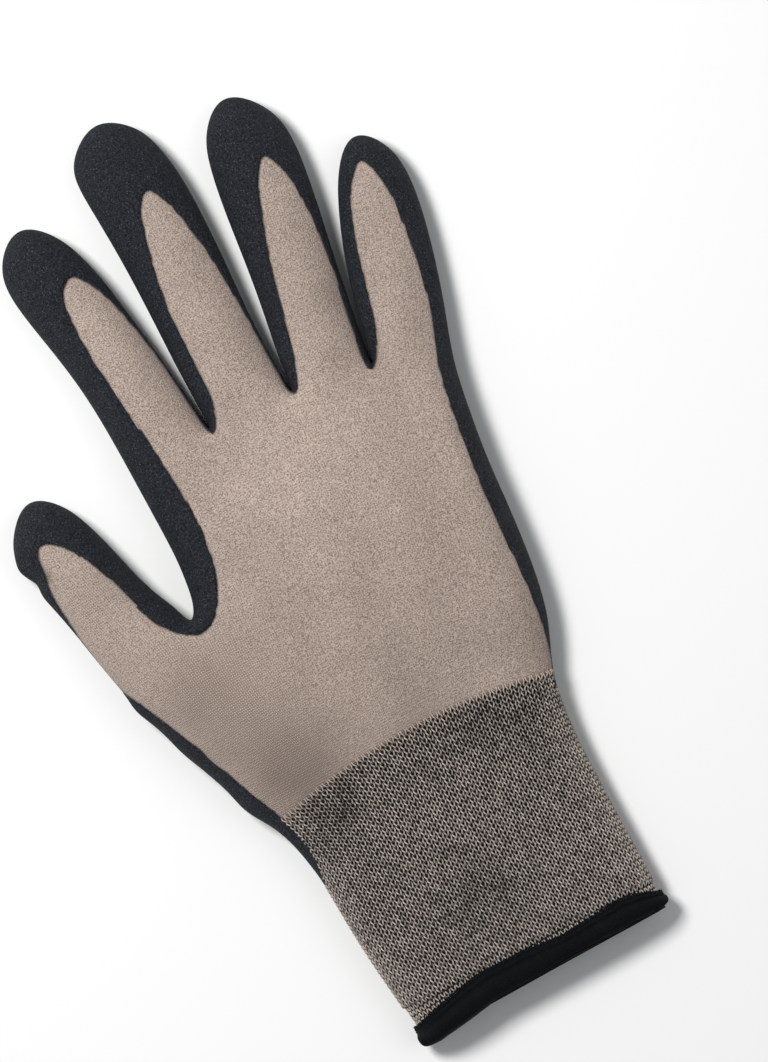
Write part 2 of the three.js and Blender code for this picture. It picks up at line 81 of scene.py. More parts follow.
COLUMNS = table(
    "name share crotch_x knuckle_x valley",
    ("thumb_edge", 0.05, -55.0, None, 1.0),
    ("thumb_middle", 0.14, -46.0, None, 1.0),
    ("thumb_web", 0.23, -33.4, -26.8, 0.9),
    ("index_middle", 0.32, -19.5, -18.0, 1.0),
    ("index_web", 0.41, -6.5, -6.6, 0.86),
    ("middle_middle", 0.5, 5.0, 4.4, 1.0),
    ("middle_web", 0.59, 16.3, 15.8, 0.86),
    ("ring_middle", 0.68, 26.5, 26.2, 1.0),
    ("ring_web", 0.77, 35.6, 36.4, 0.86),
    ("pinky_middle", 0.86, 43.4, 46.4, 1.0),
    ("hand_edge", 0.95, 48.6, 53.4, 1.0),
)
THUMB_WEB = 2
DIGITS = {  # rows across each digit, with the height of its back, and the place of its tip
    "thumb": dict(
        rows=table(
            "y left right top",
            (18.0, -60.2, -37.0, 15.6),
            (27.0, -62.1, -40.5, 15.0),
            (37.5, -64.4, -43.2, 14.6),
            (45.5, -66.1, -45.9, 13.4),
            (52.0, -62.6, -49.0, 10.8),
        ),
        tip=(-56.0, 56.0),
    ),
    "index": dict(
        rows=table(
            "y left right top",
            (57.0, -29.7, -7.9, 15.2),
            (76.0, -30.5, -9.9, 14.2),
            (95.0, -34.5, -13.0, 14.0),
            (106.0, -36.3, -15.9, 13.0),
            (113.5, -34.6, -19.4, 10.6),
        ),
        tip=(-26.5, 118.0),
    ),
    "middle": dict(
        rows=table(
            "y left right top",
            (57.5, -7.1, 15.2, 15.4),
            (76.0, -6.9, 15.1, 14.4),
            (96.0, -6.7, 16.1, 14.0),
            (113.0, -7.4, 16.0, 13.6),
            (123.0, -8.0, 13.6, 12.6),
            (128.5, -6.0, 11.2, 10.4),
        ),
        tip=(3.0, 132.7),
    ),
    "ring": dict(
        rows=table(
            "y left right top",
            (56.5, 16.2, 37.7, 15.2),
            (78.0, 19.9, 41.1, 14.0),
            (98.0, 21.7, 44.3, 13.8),
            (111.0, 23.8, 45.4, 13.2),
            (119.0, 26.6, 42.2, 10.8),
        ),
        tip=(34.6, 123.7),
    ),
    "pinky": dict(
        rows=table(
            "y left right top",
            (51.5, 38.2, 59.4, 14.6),
            (62.0, 39.9, 62.5, 13.8),
            (75.0, 43.2, 65.7, 13.4),
            (87.0, 47.9, 67.2, 12.8),
            (95.5, 52.4, 65.6, 10.4),
        ),
        tip=(59.6, 100.2),
    ),
}

# Shares of a section's half width and height at which its corners lie
CORNER, SHOULDER, SIDE, LOW_CORNER = 0.74, 0.84, 0.45, 0.09
CORNER_INSET, HAND_SHOULDER, HAND_SIDE, CUFF_LIFT = 0.24, 0.83, 0.46, 0.5
CROWN_SHARE, TIP_REACH = 1.03, 1.25

# %% [markdown]
# The cage is walked from the hem to the fingertips. Besides its place, every point gets two lengths on
# the knit: "wale", how far across the columns of stitches it is, and "course", how far along them. They
# are smoothed together with the place, so a stitch pattern drawn from them follows each finger.

# %% Build the cage
cage_points = []
cage_faces = []
face_rows = []  # the strip that each face lies in, counted from the hem; digits count as 99
PAST_CROTCH = 99


def add_point(x, y, z, wale, course):
    cage_points.append((x, y, z, wale, course))
    return len(cage_points) - 1


def add_strip(lower, upper, row):
    for i in range(len(lower)):
        k = (i + 1) % len(lower)
        cage_faces.append((lower[i], lower[k], upper[k], upper[i]))
        face_rows.append(row)


def past(edge, corner):
    """Where a cage point has to be for the smooth surface to reach the edge beside a corner."""
    return (3 * edge - corner) / 2


def row_y(row, x):
    along = min(max((x - row["left"]) / (row["right"] - row["left"]), 0), 1)
    return row["y_left"] + (row["y_right"] - row["y_left"]) * along + 4 * along * (1 - along) * row["arch"]


def back_height(row, x):
    off = abs(2 * (x - row["left"]) / (row["right"] - row["left"]) - 1)
    return row["crown"] * (CROWN_SHARE - (CROWN_SHARE - HAND_SHOULDER) * off**4)


def add_row(row, places, valley_depth, lift):
    """One ring of the wrist or palm: its back, its palm and its two sides."""
    last = len(places) - 1
    back, palm = [], []
    for i, (x, valley, wale) in enumerate(places):
        height = back_height(row, x) * (1 - valley_depth * (1 - valley))
        back.append(add_point(x, row_y(row, x), height, wale, row_y(row, x)))
        corner = LOW_CORNER * row["crown"] if i in (0, last) else 0
        palm.append(add_point(x, row_y(row, x), lift + corner, wale, row_y(row, x)))
    side_z = HAND_SIDE * row["crown"]
    arc = math.hypot(CORNER_INSET * row["crown"], side_z)
    left_x, right_x = past(row["left"], places[0][0]), past(row["right"], places[last][0])
    left = add_point(left_x, row["y_left"], side_z, places[0][2] - arc, row["y_left"])
    right = add_point(right_x, row["y_right"], side_z, places[last][2] + arc, row["y_right"])
    return dict(back=back, palm=palm, left=left, right=right)


def ring_of(row):
    return [*row["back"], row["right"], *reversed(row["palm"]), row["left"]]


def places_of(row, columns, spread, low_key, high_key):
    """Where a row's columns are, between their places at its two neighbouring landmarks."""
    found = []
    for i, column in enumerate(columns):
        low = column[low_key]
        if low_key == "share":
            low = row["left"] + (row["right"] - row["left"]) * low
        x = low + (column[high_key] - low) * spread
        if i == 0:
            x = row["left"] + CORNER_INSET * row["crown"]
        if i == len(columns) - 1:
            x = row["right"] - CORNER_INSET * row["crown"]
        found.append((x, column["valley"], column["crotch_x"]))
    return found


# %% Rings of a digit
def digit_ring(y, left, right, top, middle_wale):
    middle, half = (left + right) / 2, (right - left) / 2
    corner, shoulder, low, side = CORNER * half, SHOULDER * top, LOW_CORNER * top, SIDE * top
    reach = past(half, corner)
    arc = corner + math.hypot(reach - corner, side)
    section = [
        (-corner, shoulder, -corner),
        (0, past(top, shoulder), 0),
        (corner, shoulder, corner),
        (reach, side, arc),
        (corner, low, corner),
        (0, 0, 0),
        (-corner, low, -corner),
        (-reach, side, -arc),
    ]
    return [add_point(middle + x, y, z, middle_wale + wale, y) for x, z, wale in section]


def add_digit(root, rows, tip, middle_wale):
    rings = [root] + [digit_ring(**row, middle_wale=middle_wale) for row in rows]
    for lower, upper in zip(rings, rings[1:]):
        add_strip(lower, upper, PAST_CROTCH)
    last = rows[-1]
    tip_y = tip[1] + TIP_REACH * (tip[1] - last["y"])
    centre = add_point(tip[0], tip_y, SIDE * last["top"], middle_wale, tip_y)
    for i in range(0, 8, 2):
        cage_faces.append((rings[-1][i - 1], rings[-1][i], rings[-1][i + 1], centre))
        face_rows.append(PAST_CROTCH)


def web_point(row, column):
    x, y, z, wale, course = cage_points[row["back"][column]]
    return add_point(x, y, SIDE * z, wale, course)


# %% Put the cage together
wrist = []
for i, row in enumerate(WRIST_ROWS):
    spread = min(max((i - SEAM_ROW) / (len(WRIST_ROWS) - 1 - SEAM_ROW), 0), 1)
    lift = CUFF_LIFT if 0 < i < SEAM_ROW else 0
    wrist.append(add_row(row, places_of(row, COLUMNS, spread, "share", "crotch_x"), spread, lift))
for i in range(len(wrist) - 1):
    add_strip(ring_of(wrist[i]), ring_of(wrist[i + 1]), i)

crotch = wrist[-1]
thumb_side = web_point(crotch, THUMB_WEB)
thumb_root = dict(
    back=crotch["back"][: THUMB_WEB + 1],
    palm=crotch["palm"][: THUMB_WEB + 1],
    left=crotch["left"],
    right=thumb_side,
)
add_digit(ring_of(thumb_root), **DIGITS["thumb"], middle_wale=COLUMNS[1]["crotch_x"])
palm_root = dict(
    back=crotch["back"][THUMB_WEB:],
    palm=crotch["palm"][THUMB_WEB:],
    left=thumb_side,
    right=crotch["right"],
)
palm = [palm_root]
for i, row in enumerate(PALM_ROWS):
    spread = (i + 1) / len(PALM_ROWS)
    palm.append(add_row(row, places_of(row, COLUMNS[THUMB_WEB:], spread, "crotch_x", "knuckle_x"), spread, 0))
for lower, upper in zip(palm, palm[1:]):
    add_strip(ring_of(lower), ring_of(upper), PAST_CROTCH)

knuckles = palm[-1]
webs = [knuckles["left"], *[web_point(knuckles, column) for column in (2, 4, 6)], knuckles["right"]]
for i, name in enumerate(("index", "middle", "ring", "pinky")):
    root = dict(
        back=knuckles["back"][2 * i : 2 * i + 3],
        palm=knuckles["palm"][2 * i : 2 * i + 3],
        left=webs[i],
        right=webs[i + 1],
    )
    wale = COLUMNS[THUMB_WEB + 1 + 2 * i]["crotch_x"]
    add_digit(ring_of(root), **DIGITS[name], middle_wale=wale)
print("cage:", len(cage_points), "points,", len(cage_faces), "faces")

# %% [markdown]
# Catmull-Clark smoothing rounds the cage. Blender's own Subdivision Surface would do it, but the two knit
# lengths have to be smoothed in step with the places, so the rule is written out here with numpy.
# Four steps bring the faces down to about 0.7 mm, half the size of a stitch.


# %% Smooth the cage
def sides_of(faces):
    """The two ends of every side of every face, face after face."""
    return np.stack([faces, np.roll(faces, -1, axis=1)], axis=2).reshape(-1, 2)


def smoothed(points, faces):
    """One Catmull-Clark step on rows of numbers: x, y, z and whatever else comes with them."""
    count = len(points)
    edges, edge_of = np.unique(np.sort(sides_of(faces), axis=1), axis=0, return_inverse=True)
    edge_of = edge_of.reshape(faces.shape)
    centres = points[faces].mean(axis=1)
    sides = np.bincount(edge_of.ravel(), minlength=len(edges))
    rim = sides == 1
    across = np.zeros((len(edges), points.shape[1]))
    np.add.at(across, edge_of.ravel(), np.repeat(centres, 4, axis=0))
    halves = points[edges].sum(axis=1)
    edge_points = np.where(rim[:, None], halves / 2, (halves + across) / 4)
    valence = np.bincount(faces.ravel(), minlength=count)[:, None]
    face_sum, edge_sum = np.zeros_like(points), np.zeros_like(points)
    np.add.at(face_sum, faces.ravel(), np.repeat(centres, 4, axis=0))
    np.add.at(edge_sum, edges[:, 0], points[edges[:, 1]])
    np.add.at(edge_sum, edges[:, 1], points[edges[:, 0]])
    moved = points * (valence - 2) / valence + (face_sum + edge_sum) / valence**2
    rim_sum = np.zeros_like(points)
    np.add.at(rim_sum, edges[rim, 0], points[edges[rim, 1]])
    np.add.at(rim_sum, edges[rim, 1], points[edges[rim, 0]])
    at_rim = np.unique(edges[rim])
    moved[at_rim] = points[at_rim] * 0.75 + rim_sum[at_rim] * 0.125
    first = count + len(edges)
    middle = np.arange(len(faces)) + first
    side = count + edge_of
    quads = [np.stack([faces[:, i], side[:, i], middle, side[:, i - 1]], axis=1) for i in range(4)]
    return np.vstack([moved, edge_points, centres]), np.stack(quads, axis=1).reshape(-1, 4)


# %% Dents and folds
DENTS = table(
    "name x y reach depth",
    ("ring_side", 37.5, 68, 5, 0.9),
    ("ring_root", 31.5, 50, 7, 0.9),
    ("pinky_root", 51, 50, 6, 0.8),
    ("thumb_tip_fold", -62, 41, 3.4, 1.6),
    ("index_knuckle", -7, 42, 8, 0.7),
    ("middle_knuckle", 16, 41, 8, 0.8),
    ("thumb_web", -33, -2, 10, 1.0),
    ("slack_back", -4, -18, 20, 1.0),
    ("wrist_fold", 24, -34, 9, 0.7),
    ("cuff_hollow", 6, -78, 16, 0.8),
)

SIDE_FOLDS = table(  # where a side is nipped or bulges; push is towards -X
    "name x y reach push",
    ("thumb_tip_lip", -67, 42.6, 2.6, 0.8),
    ("thumb_tip_nick", -64.8, 37.4, 2.4, -0.9),
    ("thumb_crotch", -31.8, 15, 5, -0.35),
    ("thumb_root_side", -38, 16, 4, -0.5),
    ("root_bulge", -55.3, -2.5, 4.5, 0.7),
    ("side_bulge", -49.1, -17, 5, 0.4),
    ("heel_bulge", -42.6, -38, 6, 1.3),
)


BACK_FROM_Z = (5, 10)  # dents are pressed into the back alone, from the first height to the second


def smoothstep(value, low, high):
    share = np.clip((value - low) / (high - low), 0, 1)
    return share * share * (3 - 2 * share)


def near(points, places, amount):
    """The sum of soft round patches at the table's places, for each point."""
    found = np.zeros(len(points))
    for place in places:
        distance = np.hypot(points[:, 0] - place["x"], points[:, 1] - place["y"])
        found += place[amount] * np.exp(-((distance / place["reach"]) ** 2))
    return found


def dented(points):
    """Presses the folds and hollows into the back and the side."""
    pressed = points.copy()
    pressed[:, 2] -= near(points, DENTS, "depth") * smoothstep(points[:, 2], *BACK_FROM_Z)
    pressed[:, 0] -= near(points, SIDE_FOLDS, "push")
    return pressed


def normals_of(points, faces):
    a, b, c, d = (points[faces[:, i], :3] for i in range(4))
    face_normal = np.cross(c - a, d - b)
    normals = np.zeros((len(points), 3))
    np.add.at(normals, faces.ravel(), np.repeat(face_normal, 4, axis=0))
    return normals / np.linalg.norm(normals, axis=1)[:, None]


SWELL = 0.22  # smoothing this far draws the outline in, so the hand is let out again sideways
SWELL_FROM_Y, SWELL_FULL_Y = -44, -26
TIPS = [dict(x=digit["tip"][0], y=digit["tip"][1], reach=18, swell=0.36) for digit in DIGITS.values()]


def dense(levels):
    points, faces = np.array(cage_points, float), np.array(cage_faces)
    rows = np.array(face_rows)
    for _ in range(levels):
        points, faces = smoothed(points, faces)
        rows = np.repeat(rows, 4)
    points = dented(points)
    normals = normals_of(points, faces)
    swell = SWELL * smoothstep(points[:, 1], SWELL_FROM_Y, SWELL_FULL_Y) + near(points, TIPS, "swell")
    points[:, :2] += normals[:, :2] * swell[:, None]
    return points, faces, rows, normals


FINE, COARSE = 4, 3  # the liner lies half hidden under the coat, so one step less is enough for it
skin, skin_faces, skin_rows, skin_normals = dense(FINE)
print("skin:", len(skin_faces), "faces")

# %% [markdown]
# The row frame has the ring finger along +Y, so the tables' places are turned and moved once, when a mesh
# is made. The same helper gives each mesh its knit lengths as a UV map, in millimetres.

# %% Helpers that make a mesh
TURN = math.radians(7)
MIDDLE_X, MIDDLE_Y = -7.2, 10.4
MM = 0.001


def in_frame(points):
    """Places from the tables, in millimetres, as metres in the row frame."""
    points = np.asarray(points, float).reshape(-1, 3)
    x = points[:, 0] * math.cos(TURN) - points[:, 1] * math.sin(TURN) - MIDDLE_X
    y = points[:, 0] * math.sin(TURN) + points[:, 1] * math.cos(TURN) - MIDDLE_Y
    return np.stack([x, y, points[:, 2]], axis=1) * MM


def put(name, data):
    """Puts a mesh, a lamp or a camera into the scene."""
    thing = bpy.data.objects.new(name, data)
    bpy.context.scene.collection.objects.link(thing)
    return thing


def make_piece(name, points, faces, node, knit=None, values=None):
    """A smooth-shaded mesh that stands for a node of the frame. values are named numbers for each point."""
    mesh = bpy.data.meshes.new(name)
    faces = np.asarray(faces)
    mesh.from_pydata(in_frame(points).tolist(), [], faces.tolist())
    mesh.polygons.foreach_set("use_smooth", np.ones(len(mesh.polygons), bool))
    if knit is not None:
        corners = np.zeros(len(mesh.loops), int)
        mesh.loops.foreach_get("vertex_index", corners)
        lengths = np.asarray(knit)[corners].astype(np.float32)
        mesh.uv_layers.new(name="knit").data.foreach_set("uv", lengths.ravel())
    for key, value in (values or {}).items():
        mesh.attributes.new(key, "FLOAT", "POINT").data.foreach_set("value", np.asarray(value, np.float32))
    mesh.validate()
    mesh.update()
    piece = put(name, mesh)
    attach(piece, "root")
    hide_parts(node)
    print(name, "triangles:", sum(len(p.vertices) - 2 for p in mesh.polygons))
    return piece


def compact(points, faces, *extra):
    """Only the points that the faces use, with anything that goes with them."""
    used, faces = np.unique(faces, return_inverse=True)
    return [points[used], faces.reshape(-1, 4), *[value[used] for value in extra]]


# %% [markdown]
# The dipped coat ends along the outline of the bare back. That outline is a smooth line through a few
# places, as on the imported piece. How far each point of the skin is from it, counted positive on the bare
# side, decides which piece shows there. The coat's lower end on the palm side is found in the same way.

# %% Where the back is bare
BARE_BACK = [
    [(-34, -80), (-34, -62), (-33.6, -54), (-36, -45), (-42.4, -29.5), (-49, -13.5), (-55.2, -1), (-58.2, 5)],
    [(-60.4, 15), (-61.5, 26), (-61.9, 33.5), (-61, 39.5), (-60.6, 43), (-58.9, 45.6), (-56, 45.2)],
    [(-51.2, 40.4), (-45.4, 28.5), (-41.4, 15.6)],
    [(-36, 9.3), (-31.8, 7.6), (-27.2, 10.4), (-22.3, 20), (-20.8, 35)],
    [(-22.3, 54), (-24.4, 72), (-25.5, 88), (-24.2, 99), (-20, 102.3), (-15.6, 97), (-11, 81.5), (-9, 70)],
    [(-7.8, 58), (-6.6, 51), (-3.6, 58)],
    [(-3.2, 68), (-2.4, 86), (0, 99), (3.2, 109.4), (7, 112.8), (10, 108.4), (13, 95.4), (14.8, 75)],
    [(15.3, 59), (16.2, 50.6), (19.5, 57.5)],
    [(22.4, 69.5), (26, 83.5), (29.8, 95), (33.2, 103), (37, 106.9), (40, 101.5), (41, 90), (39.6, 73)],
    [(37.2, 59), (36, 46.8), (40.4, 53)],
    [(44, 65), (47.6, 79), (52.4, 90), (58, 94.9), (60.9, 86.5), (59.9, 70), (56.7, 53)],
    [(51.2, 37), (48.6, 18), (47, 2), (46.5, -14), (45.4, -29), (42.4, -41.5), (39.6, -46)],
]
WINDOW_FOOT = [(60, -60), (60, -80)]
COAT_END = [
    *[(46, -40), (41, -45.4), (34.5, -52.6), (27, -59.4)],
    *[(18, -62.8), (6, -63.6), (-20, -63.5), (-48, -63.5)],
]
BELOW_COAT_CORNERS = [(-48, -100), (80, -100), (80, -40)]
WINDOW_SIDE_Z = 7.0  # the coat comes up the hand's sides to this height


def smooth_line(places, pieces):
    """A centripetal Catmull-Rom curve through the places."""
    p = np.array(places, float)
    p = np.vstack([2 * p[0] - p[1], p, 2 * p[-1] - p[-2]])
    found = []
    for p0, p1, p2, p3 in zip(p, p[1:], p[2:], p[3:]):
        d0, d1, d2 = (max(np.linalg.norm(b - a), 1e-6) ** 0.5 for a, b in ((p0, p1), (p1, p2), (p2, p3)))
        m1 = ((p1 - p0) / d0 - (p2 - p0) / (d0 + d1) + (p2 - p1) / d1) * d1
        m2 = ((p2 - p1) / d1 - (p3 - p1) / (d1 + d2) + (p3 - p2) / d2) * d1
        for t in np.arange(pieces) / pieces:
            t2, t3 = t * t, t**3
            ends = (2 * t3 - 3 * t2 + 1) * p1 + (t3 - 2 * t2 + t) * m1
            found.append(ends + (3 * t2 - 2 * t3) * p2 + (t3 - t2) * m2)
    return np.vstack([found, p[-2]])


def inside(points, outline):
    """Which of the points lie inside a closed outline."""
    x, y = points[:, 0], points[:, 1]
    within = np.zeros(len(points), bool)
    for (x1, y1), (x2, y2) in zip(outline, np.roll(outline, -1, axis=0)):
        if y1 == y2:
            continue
        crosses = (y1 > y) != (y2 > y)
        within ^= crosses & (x < (x2 - x1) * (y - y1) / (y2 - y1) + x1)
    return within


def distance_to(points, places):
    """How far each point is from the nearest of the places."""
    tree = KDTree(len(places))
    for i, place in enumerate(places):
        tree.insert(place, i)
    tree.balance()
    return np.array([tree.find(point)[2] for point in points])


def flat(points):
    return np.column_stack([points[:, :2], np.zeros(len(points))])


# %% Tell the bare back from the coat
CURVE_PIECES = 12
END_PIECES = 60  # the lower end crosses open palm, so its line is finer

window_line = smooth_line([place for stretch in BARE_BACK for place in stretch], CURVE_PIECES)
window = np.vstack([window_line, WINDOW_FOOT])
end_line = smooth_line(COAT_END, END_PIECES)
below_coat = np.vstack([end_line, BELOW_COAT_CORNERS])


def bareness(points):
    """How many millimetres a point lies inside the bare back, negative where the coat covers it."""
    past_line = distance_to(flat(points), flat(window_line)) * np.where(inside(points, window), 1, -1)
    return np.minimum(past_line, points[:, 2] - WINDOW_SIDE_Z)


def past_coat(points):
    """How many millimetres a point lies outside the coat, past its edge or past its lower end."""
    end = distance_to(flat(points), flat(end_line)) * np.where(inside(points, below_coat), 1, -1)
    return np.maximum(bareness(points), end)


skin_past = past_coat(skin)
print("bare share of the skin:", round(float((skin_past > 0).mean()), 3))

# %% [markdown]
# The liner is the tan knit itself. Its outside lies under the coat, and rises where the back is bare,
# because nothing presses it there. Its inside is a wall's thickness further in, so the glove is hollow.

# %% The knitted liner
LINER_DEPTH = 1.1  # under the coat
BARE_DEPTH = 0.45
SEAM_DEPTH = 0.62  # where it dips under the row of stitches that joins it to the cuff
SEAM_DIP = 1.5  # how far from the seam it starts to dip
COAT_STEP = (-1.6, -0.1)  # between these distances from the coat's edge the knit rises
LINER_INSIDE = 2.3  # the depth of its inner face
# Painted shade in the tan knit's creases and folds, in the thumb's pocket and between the finger roots,
# painted light on the back, the knuckles and the index, and the knit darker towards the heel and wrist.
TAN_PAINTED_SHADE_AND_LIGHT = table(  # painted shade, and painted light where dark is below nought
    "name x y reach dark",
    ("index_root", 0.5, 55, 5, 0.10),
    ("ring_side", 37, 67, 4.5, 0.12),
    ("ring_root", 31, 50, 7, 0.10),
    ("pinky_root", 51, 48, 7, 0.10),
    ("heel", -27, -38, 14, 0.2),
    ("wrist", 4, -32, 14, 0.1),
    ("back_light", 6, 24, 20, -0.11),
    ("knuckle_light", 13, 45, 12, -0.15),
    ("index_light", -18, 85, 11, -0.1),
    ("lower_back", 15, -14, 16, 0.08),
    ("outer_edge", 45, -30, 11, 0.14),
    ("side_creases", 43, 6, 7, 0.07),
    ("thumb_pocket", -61.6, 38, 1.8, 0.7),
)
ROWS_SHOW = table(  # where the nap is worn and the rows of stitches show
    "name x y reach show",
    ("thumb_root", -37, -8, 17, 1.0),
    ("heel", -27, -34, 15, 1.0),
    ("thumb", -54, 27, 9, 0.5),
    ("wrist", 4, -40, 13, 0.5),
)


def walled(points, normals, faces, outer_depth, inner_depth):
    """Closes a wall between two depths under the skin, with a rim along its open edges."""
    outer = points[:, :3] - normals * np.reshape(outer_depth, (-1, 1))
    inner = points[:, :3] - normals * np.reshape(inner_depth, (-1, 1))
    count = len(points)
    ends = sides_of(faces)
    _, place, seen = np.unique(np.sort(ends, axis=1), axis=0, return_index=True, return_counts=True)
    rim = ends[place[seen == 1]]
    edge = np.stack([rim[:, 1], rim[:, 0], rim[:, 0] + count, rim[:, 1] + count], axis=1)
    return np.vstack([outer, inner]), np.vstack([faces, faces[:, ::-1] + count, edge])


def rim_points(faces):
    """The points along a mesh's open edges."""
    edges, seen = np.unique(np.sort(sides_of(faces), axis=1), axis=0, return_counts=True)
    return np.unique(edges[seen == 1])


liner, liner_faces, liner_rows, liner_normals = dense(COARSE)
liner_faces = liner_faces[liner_rows >= SEAM_ROW]
liner, liner_faces, liner_normals = compact(liner, liner_faces, liner_normals)
liner_bare = bareness(liner)
seam_line = liner[rim_points(liner_faces), :3]
from_seam = distance_to(liner[:, :3], seam_line)
raised = smoothstep(liner_bare, *COAT_STEP)
depth = LINER_DEPTH + (BARE_DEPTH - LINER_DEPTH) * raised
depth += (SEAM_DEPTH - BARE_DEPTH) * (1 - smoothstep(from_seam, 0, SEAM_DIP)) * raised
wall, wall_faces = walled(liner, liner_normals, liner_faces, depth, np.full(len(liner), LINER_INSIDE))
knit_map = np.tile(liner[:, 3:5], (2, 1))
liner_painted_shade, liner_rows_show = near(liner, TAN_PAINTED_SHADE_AND_LIGHT, "dark"), near(liner, ROWS_SHOW, "show")
liner_values = dict(bare=liner_bare, shade=liner_painted_shade, rows=liner_rows_show)
liner_values = {key: np.tile(value, 2) for key, value in liner_values.items()}
liner_piece = make_piece("knitted_liner", wall, wall_faces, "hand_shell", knit_map, liner_values)

# %% [markdown]
# The coat was dipped, so it soaked into the knit and stops along a soft line. A face of the skin belongs to
# the coat if it is outside the bare back. The rim's points then slide on to the outline itself, shifted a
# little for each stitch, because whole faces would leave steps. The coat thins out towards its edge, and
# its rim turns down into the knit.

# %% The dipped coat
STITCH_WIDE, STITCH_LONG = 1.25, 0.64
COAT_WALL = 0.8
COAT_THINS, THINS_FROM = 0.32, -2.2  # how much lower the coat's face is at its edge, and from how far off
INNER_KEPT = -1.5  # the inner side is only kept this near to the coat's edge, where it can be seen
COAT_FIRST_ROW = 2
RAGGED_EDGE = 0.14  # how far the edge strays from its outline
CHANCES = 512
chance = np.random.default_rng(7)
RAGGED = chance.uniform(-1, 1, (CHANCES, CHANCES))


def stitch_chance(knit):
    """A number from -1 to 1 for the stitch that a place on the knit lies in."""
    across = np.floor(knit[:, 0] / (STITCH_WIDE / 2)).astype(int) % CHANCES
    along = np.floor(knit[:, 1] / STITCH_LONG).astype(int) % CHANCES
    return RAGGED[across, along]


def slid_to_line(points, all_faces, kept_faces, value):
    """Slides the rim of the kept faces along the mesh to where the value is nought."""
    edges = np.unique(np.sort(sides_of(all_faces), axis=1), axis=0)
    crossing = edges[value[edges[:, 0]] * value[edges[:, 1]] < 0]
    a, b = crossing[:, 0], crossing[:, 1]
    share = (value[a] / (value[a] - value[b]))[:, None]
    place = points[a] + (points[b] - points[a]) * share
    owner = np.concatenate([a, b])
    target = np.vstack([place, place])
    order = np.argsort(np.linalg.norm(target[:, :3] - points[owner, :3], axis=1))
    owner, first = np.unique(owner[order], return_index=True)
    target = target[order][first]
    on_rim = np.isin(owner, rim_points(kept_faces))
    slid = points.copy()
    slid[owner[on_rim]] = target[on_rim]
    return slid


ragged_past = skin_past + RAGGED_EDGE * stitch_chance(skin[:, 3:5])
coated = (ragged_past[skin_faces].mean(axis=1) < 0) & (skin_rows >= COAT_FIRST_ROW)
coat_skin = slid_to_line(skin, skin_faces, skin_faces[coated], ragged_past)
coat, coat_faces, coat_normals, coat_past = compact(coat_skin, skin_faces[coated], skin_normals, skin_past)
coat_depth = COAT_THINS * smoothstep(coat_past, THINS_FROM, 0)
coat_wall, coat_wall_faces = walled(coat, coat_normals, coat_faces, coat_depth, coat_depth + COAT_WALL)
near_edge = np.tile(coat_past, 2)[coat_wall_faces].max(axis=1) > INNER_KEPT
is_inner = (coat_wall_faces >= len(coat)).all(axis=1)
coat_wall_faces = coat_wall_faces[~is_inner | near_edge]
coat_knit = np.tile(coat[:, 3:5], (2, 1))
coat_wall, coat_wall_faces, coat_knit = compact(coat_wall, coat_wall_faces, coat_knit)
coat_piece = make_piece("dipped_coat", coat_wall, coat_wall_faces, "palm_coating", coat_knit)

# %% [markdown]
# The cuff is a tube of elastic knit, loose enough that each loop of yarn shows. A bump map would look
# printed from close by, so the loops are real: one wavy yarn goes round the wrist for each course, and
# hooks into the course below. First the tube's outside is laid out as an even grid, by wale and course.

# %% Lay out the cuff
WALES, WALE = 98, 1.62  # columns of stitches round the cuff, and the width of one
COURSE = 1.43
PAST_SEAM = 2  # courses laid out beyond the seam, for the stitches that join the hand
ROUND = 4 * WALES  # the grid has four places to each wale, and two to each course
RING_STEPS, ROW_STEPS = 721, 500  # how finely the tube is measured round and along
MID_BACK = 5.0  # the cage column in the middle of the back
INSIDE_Z = 6  # a height inside the tube, to tell which way is out


def spline_weights(t):
    """How much each of four neighbours counts on the smooth surface, by the uniform cubic B-spline."""
    inner = [3 * t**3 - 6 * t**2 + 4, -3 * t**3 + 3 * t**2 + 3 * t + 1]
    return np.stack([(1 - t) ** 3, *inner, t**3], axis=-1) / 6


tube = np.array([[cage_points[i][:3] for i in ring_of(row)] for row in wrist])
tube = np.concatenate([2 * tube[:1] - tube[1:2], tube])


def tube_point(around, along):
    """The smooth tube's place at a column (around) and a row (along) of the cage."""
    column, row = np.floor(around).astype(int), np.minimum(np.floor(along).astype(int), len(tube) - 4)
    wa, wr = spline_weights(around - column), spline_weights(along - row)
    found = np.zeros((len(around), 3))
    for i in range(4):
        for j in range(4):
            part = tube[row + j, (column + i - 1) % tube.shape[1]]
            found += (wa[:, i] * wr[:, j])[:, None] * part
    return dented(found)


def even_ring(along, count):
    """Places spaced evenly round the tube at one row, starting at the thumb side."""
    around = np.linspace(0, tube.shape[1], RING_STEPS) - 1
    ring = tube_point(around, np.full(RING_STEPS, along))
    length = np.concatenate([[0], np.cumsum(np.linalg.norm(np.diff(ring, axis=0), axis=1))])
    even = np.interp(np.arange(count) / count * length[-1], length, around)
    return tube_point(even, np.full(count, along))


# the cage rows of evenly spaced courses are measured along the middle of the back
fine_rows = np.linspace(0, SEAM_ROW + 1, ROW_STEPS)
fine_line = tube_point(np.full(ROW_STEPS, MID_BACK), fine_rows)
fine_length = np.concatenate([[0], np.cumsum(np.linalg.norm(np.diff(fine_line, axis=0), axis=1))])
cuff_long = np.interp(SEAM_ROW, fine_rows, fine_length)
COURSES = round(cuff_long / COURSE)
half_course = cuff_long / COURSES / 2
grid_rows = np.interp(np.arange(2 * (COURSES + PAST_SEAM) + 1) * half_course, fine_length, fine_rows)
grid = np.array([even_ring(row, ROUND) for row in grid_rows])
print("cuff:", WALES, "wales,", COURSES, "courses,", round(cuff_long, 1), "mm long")

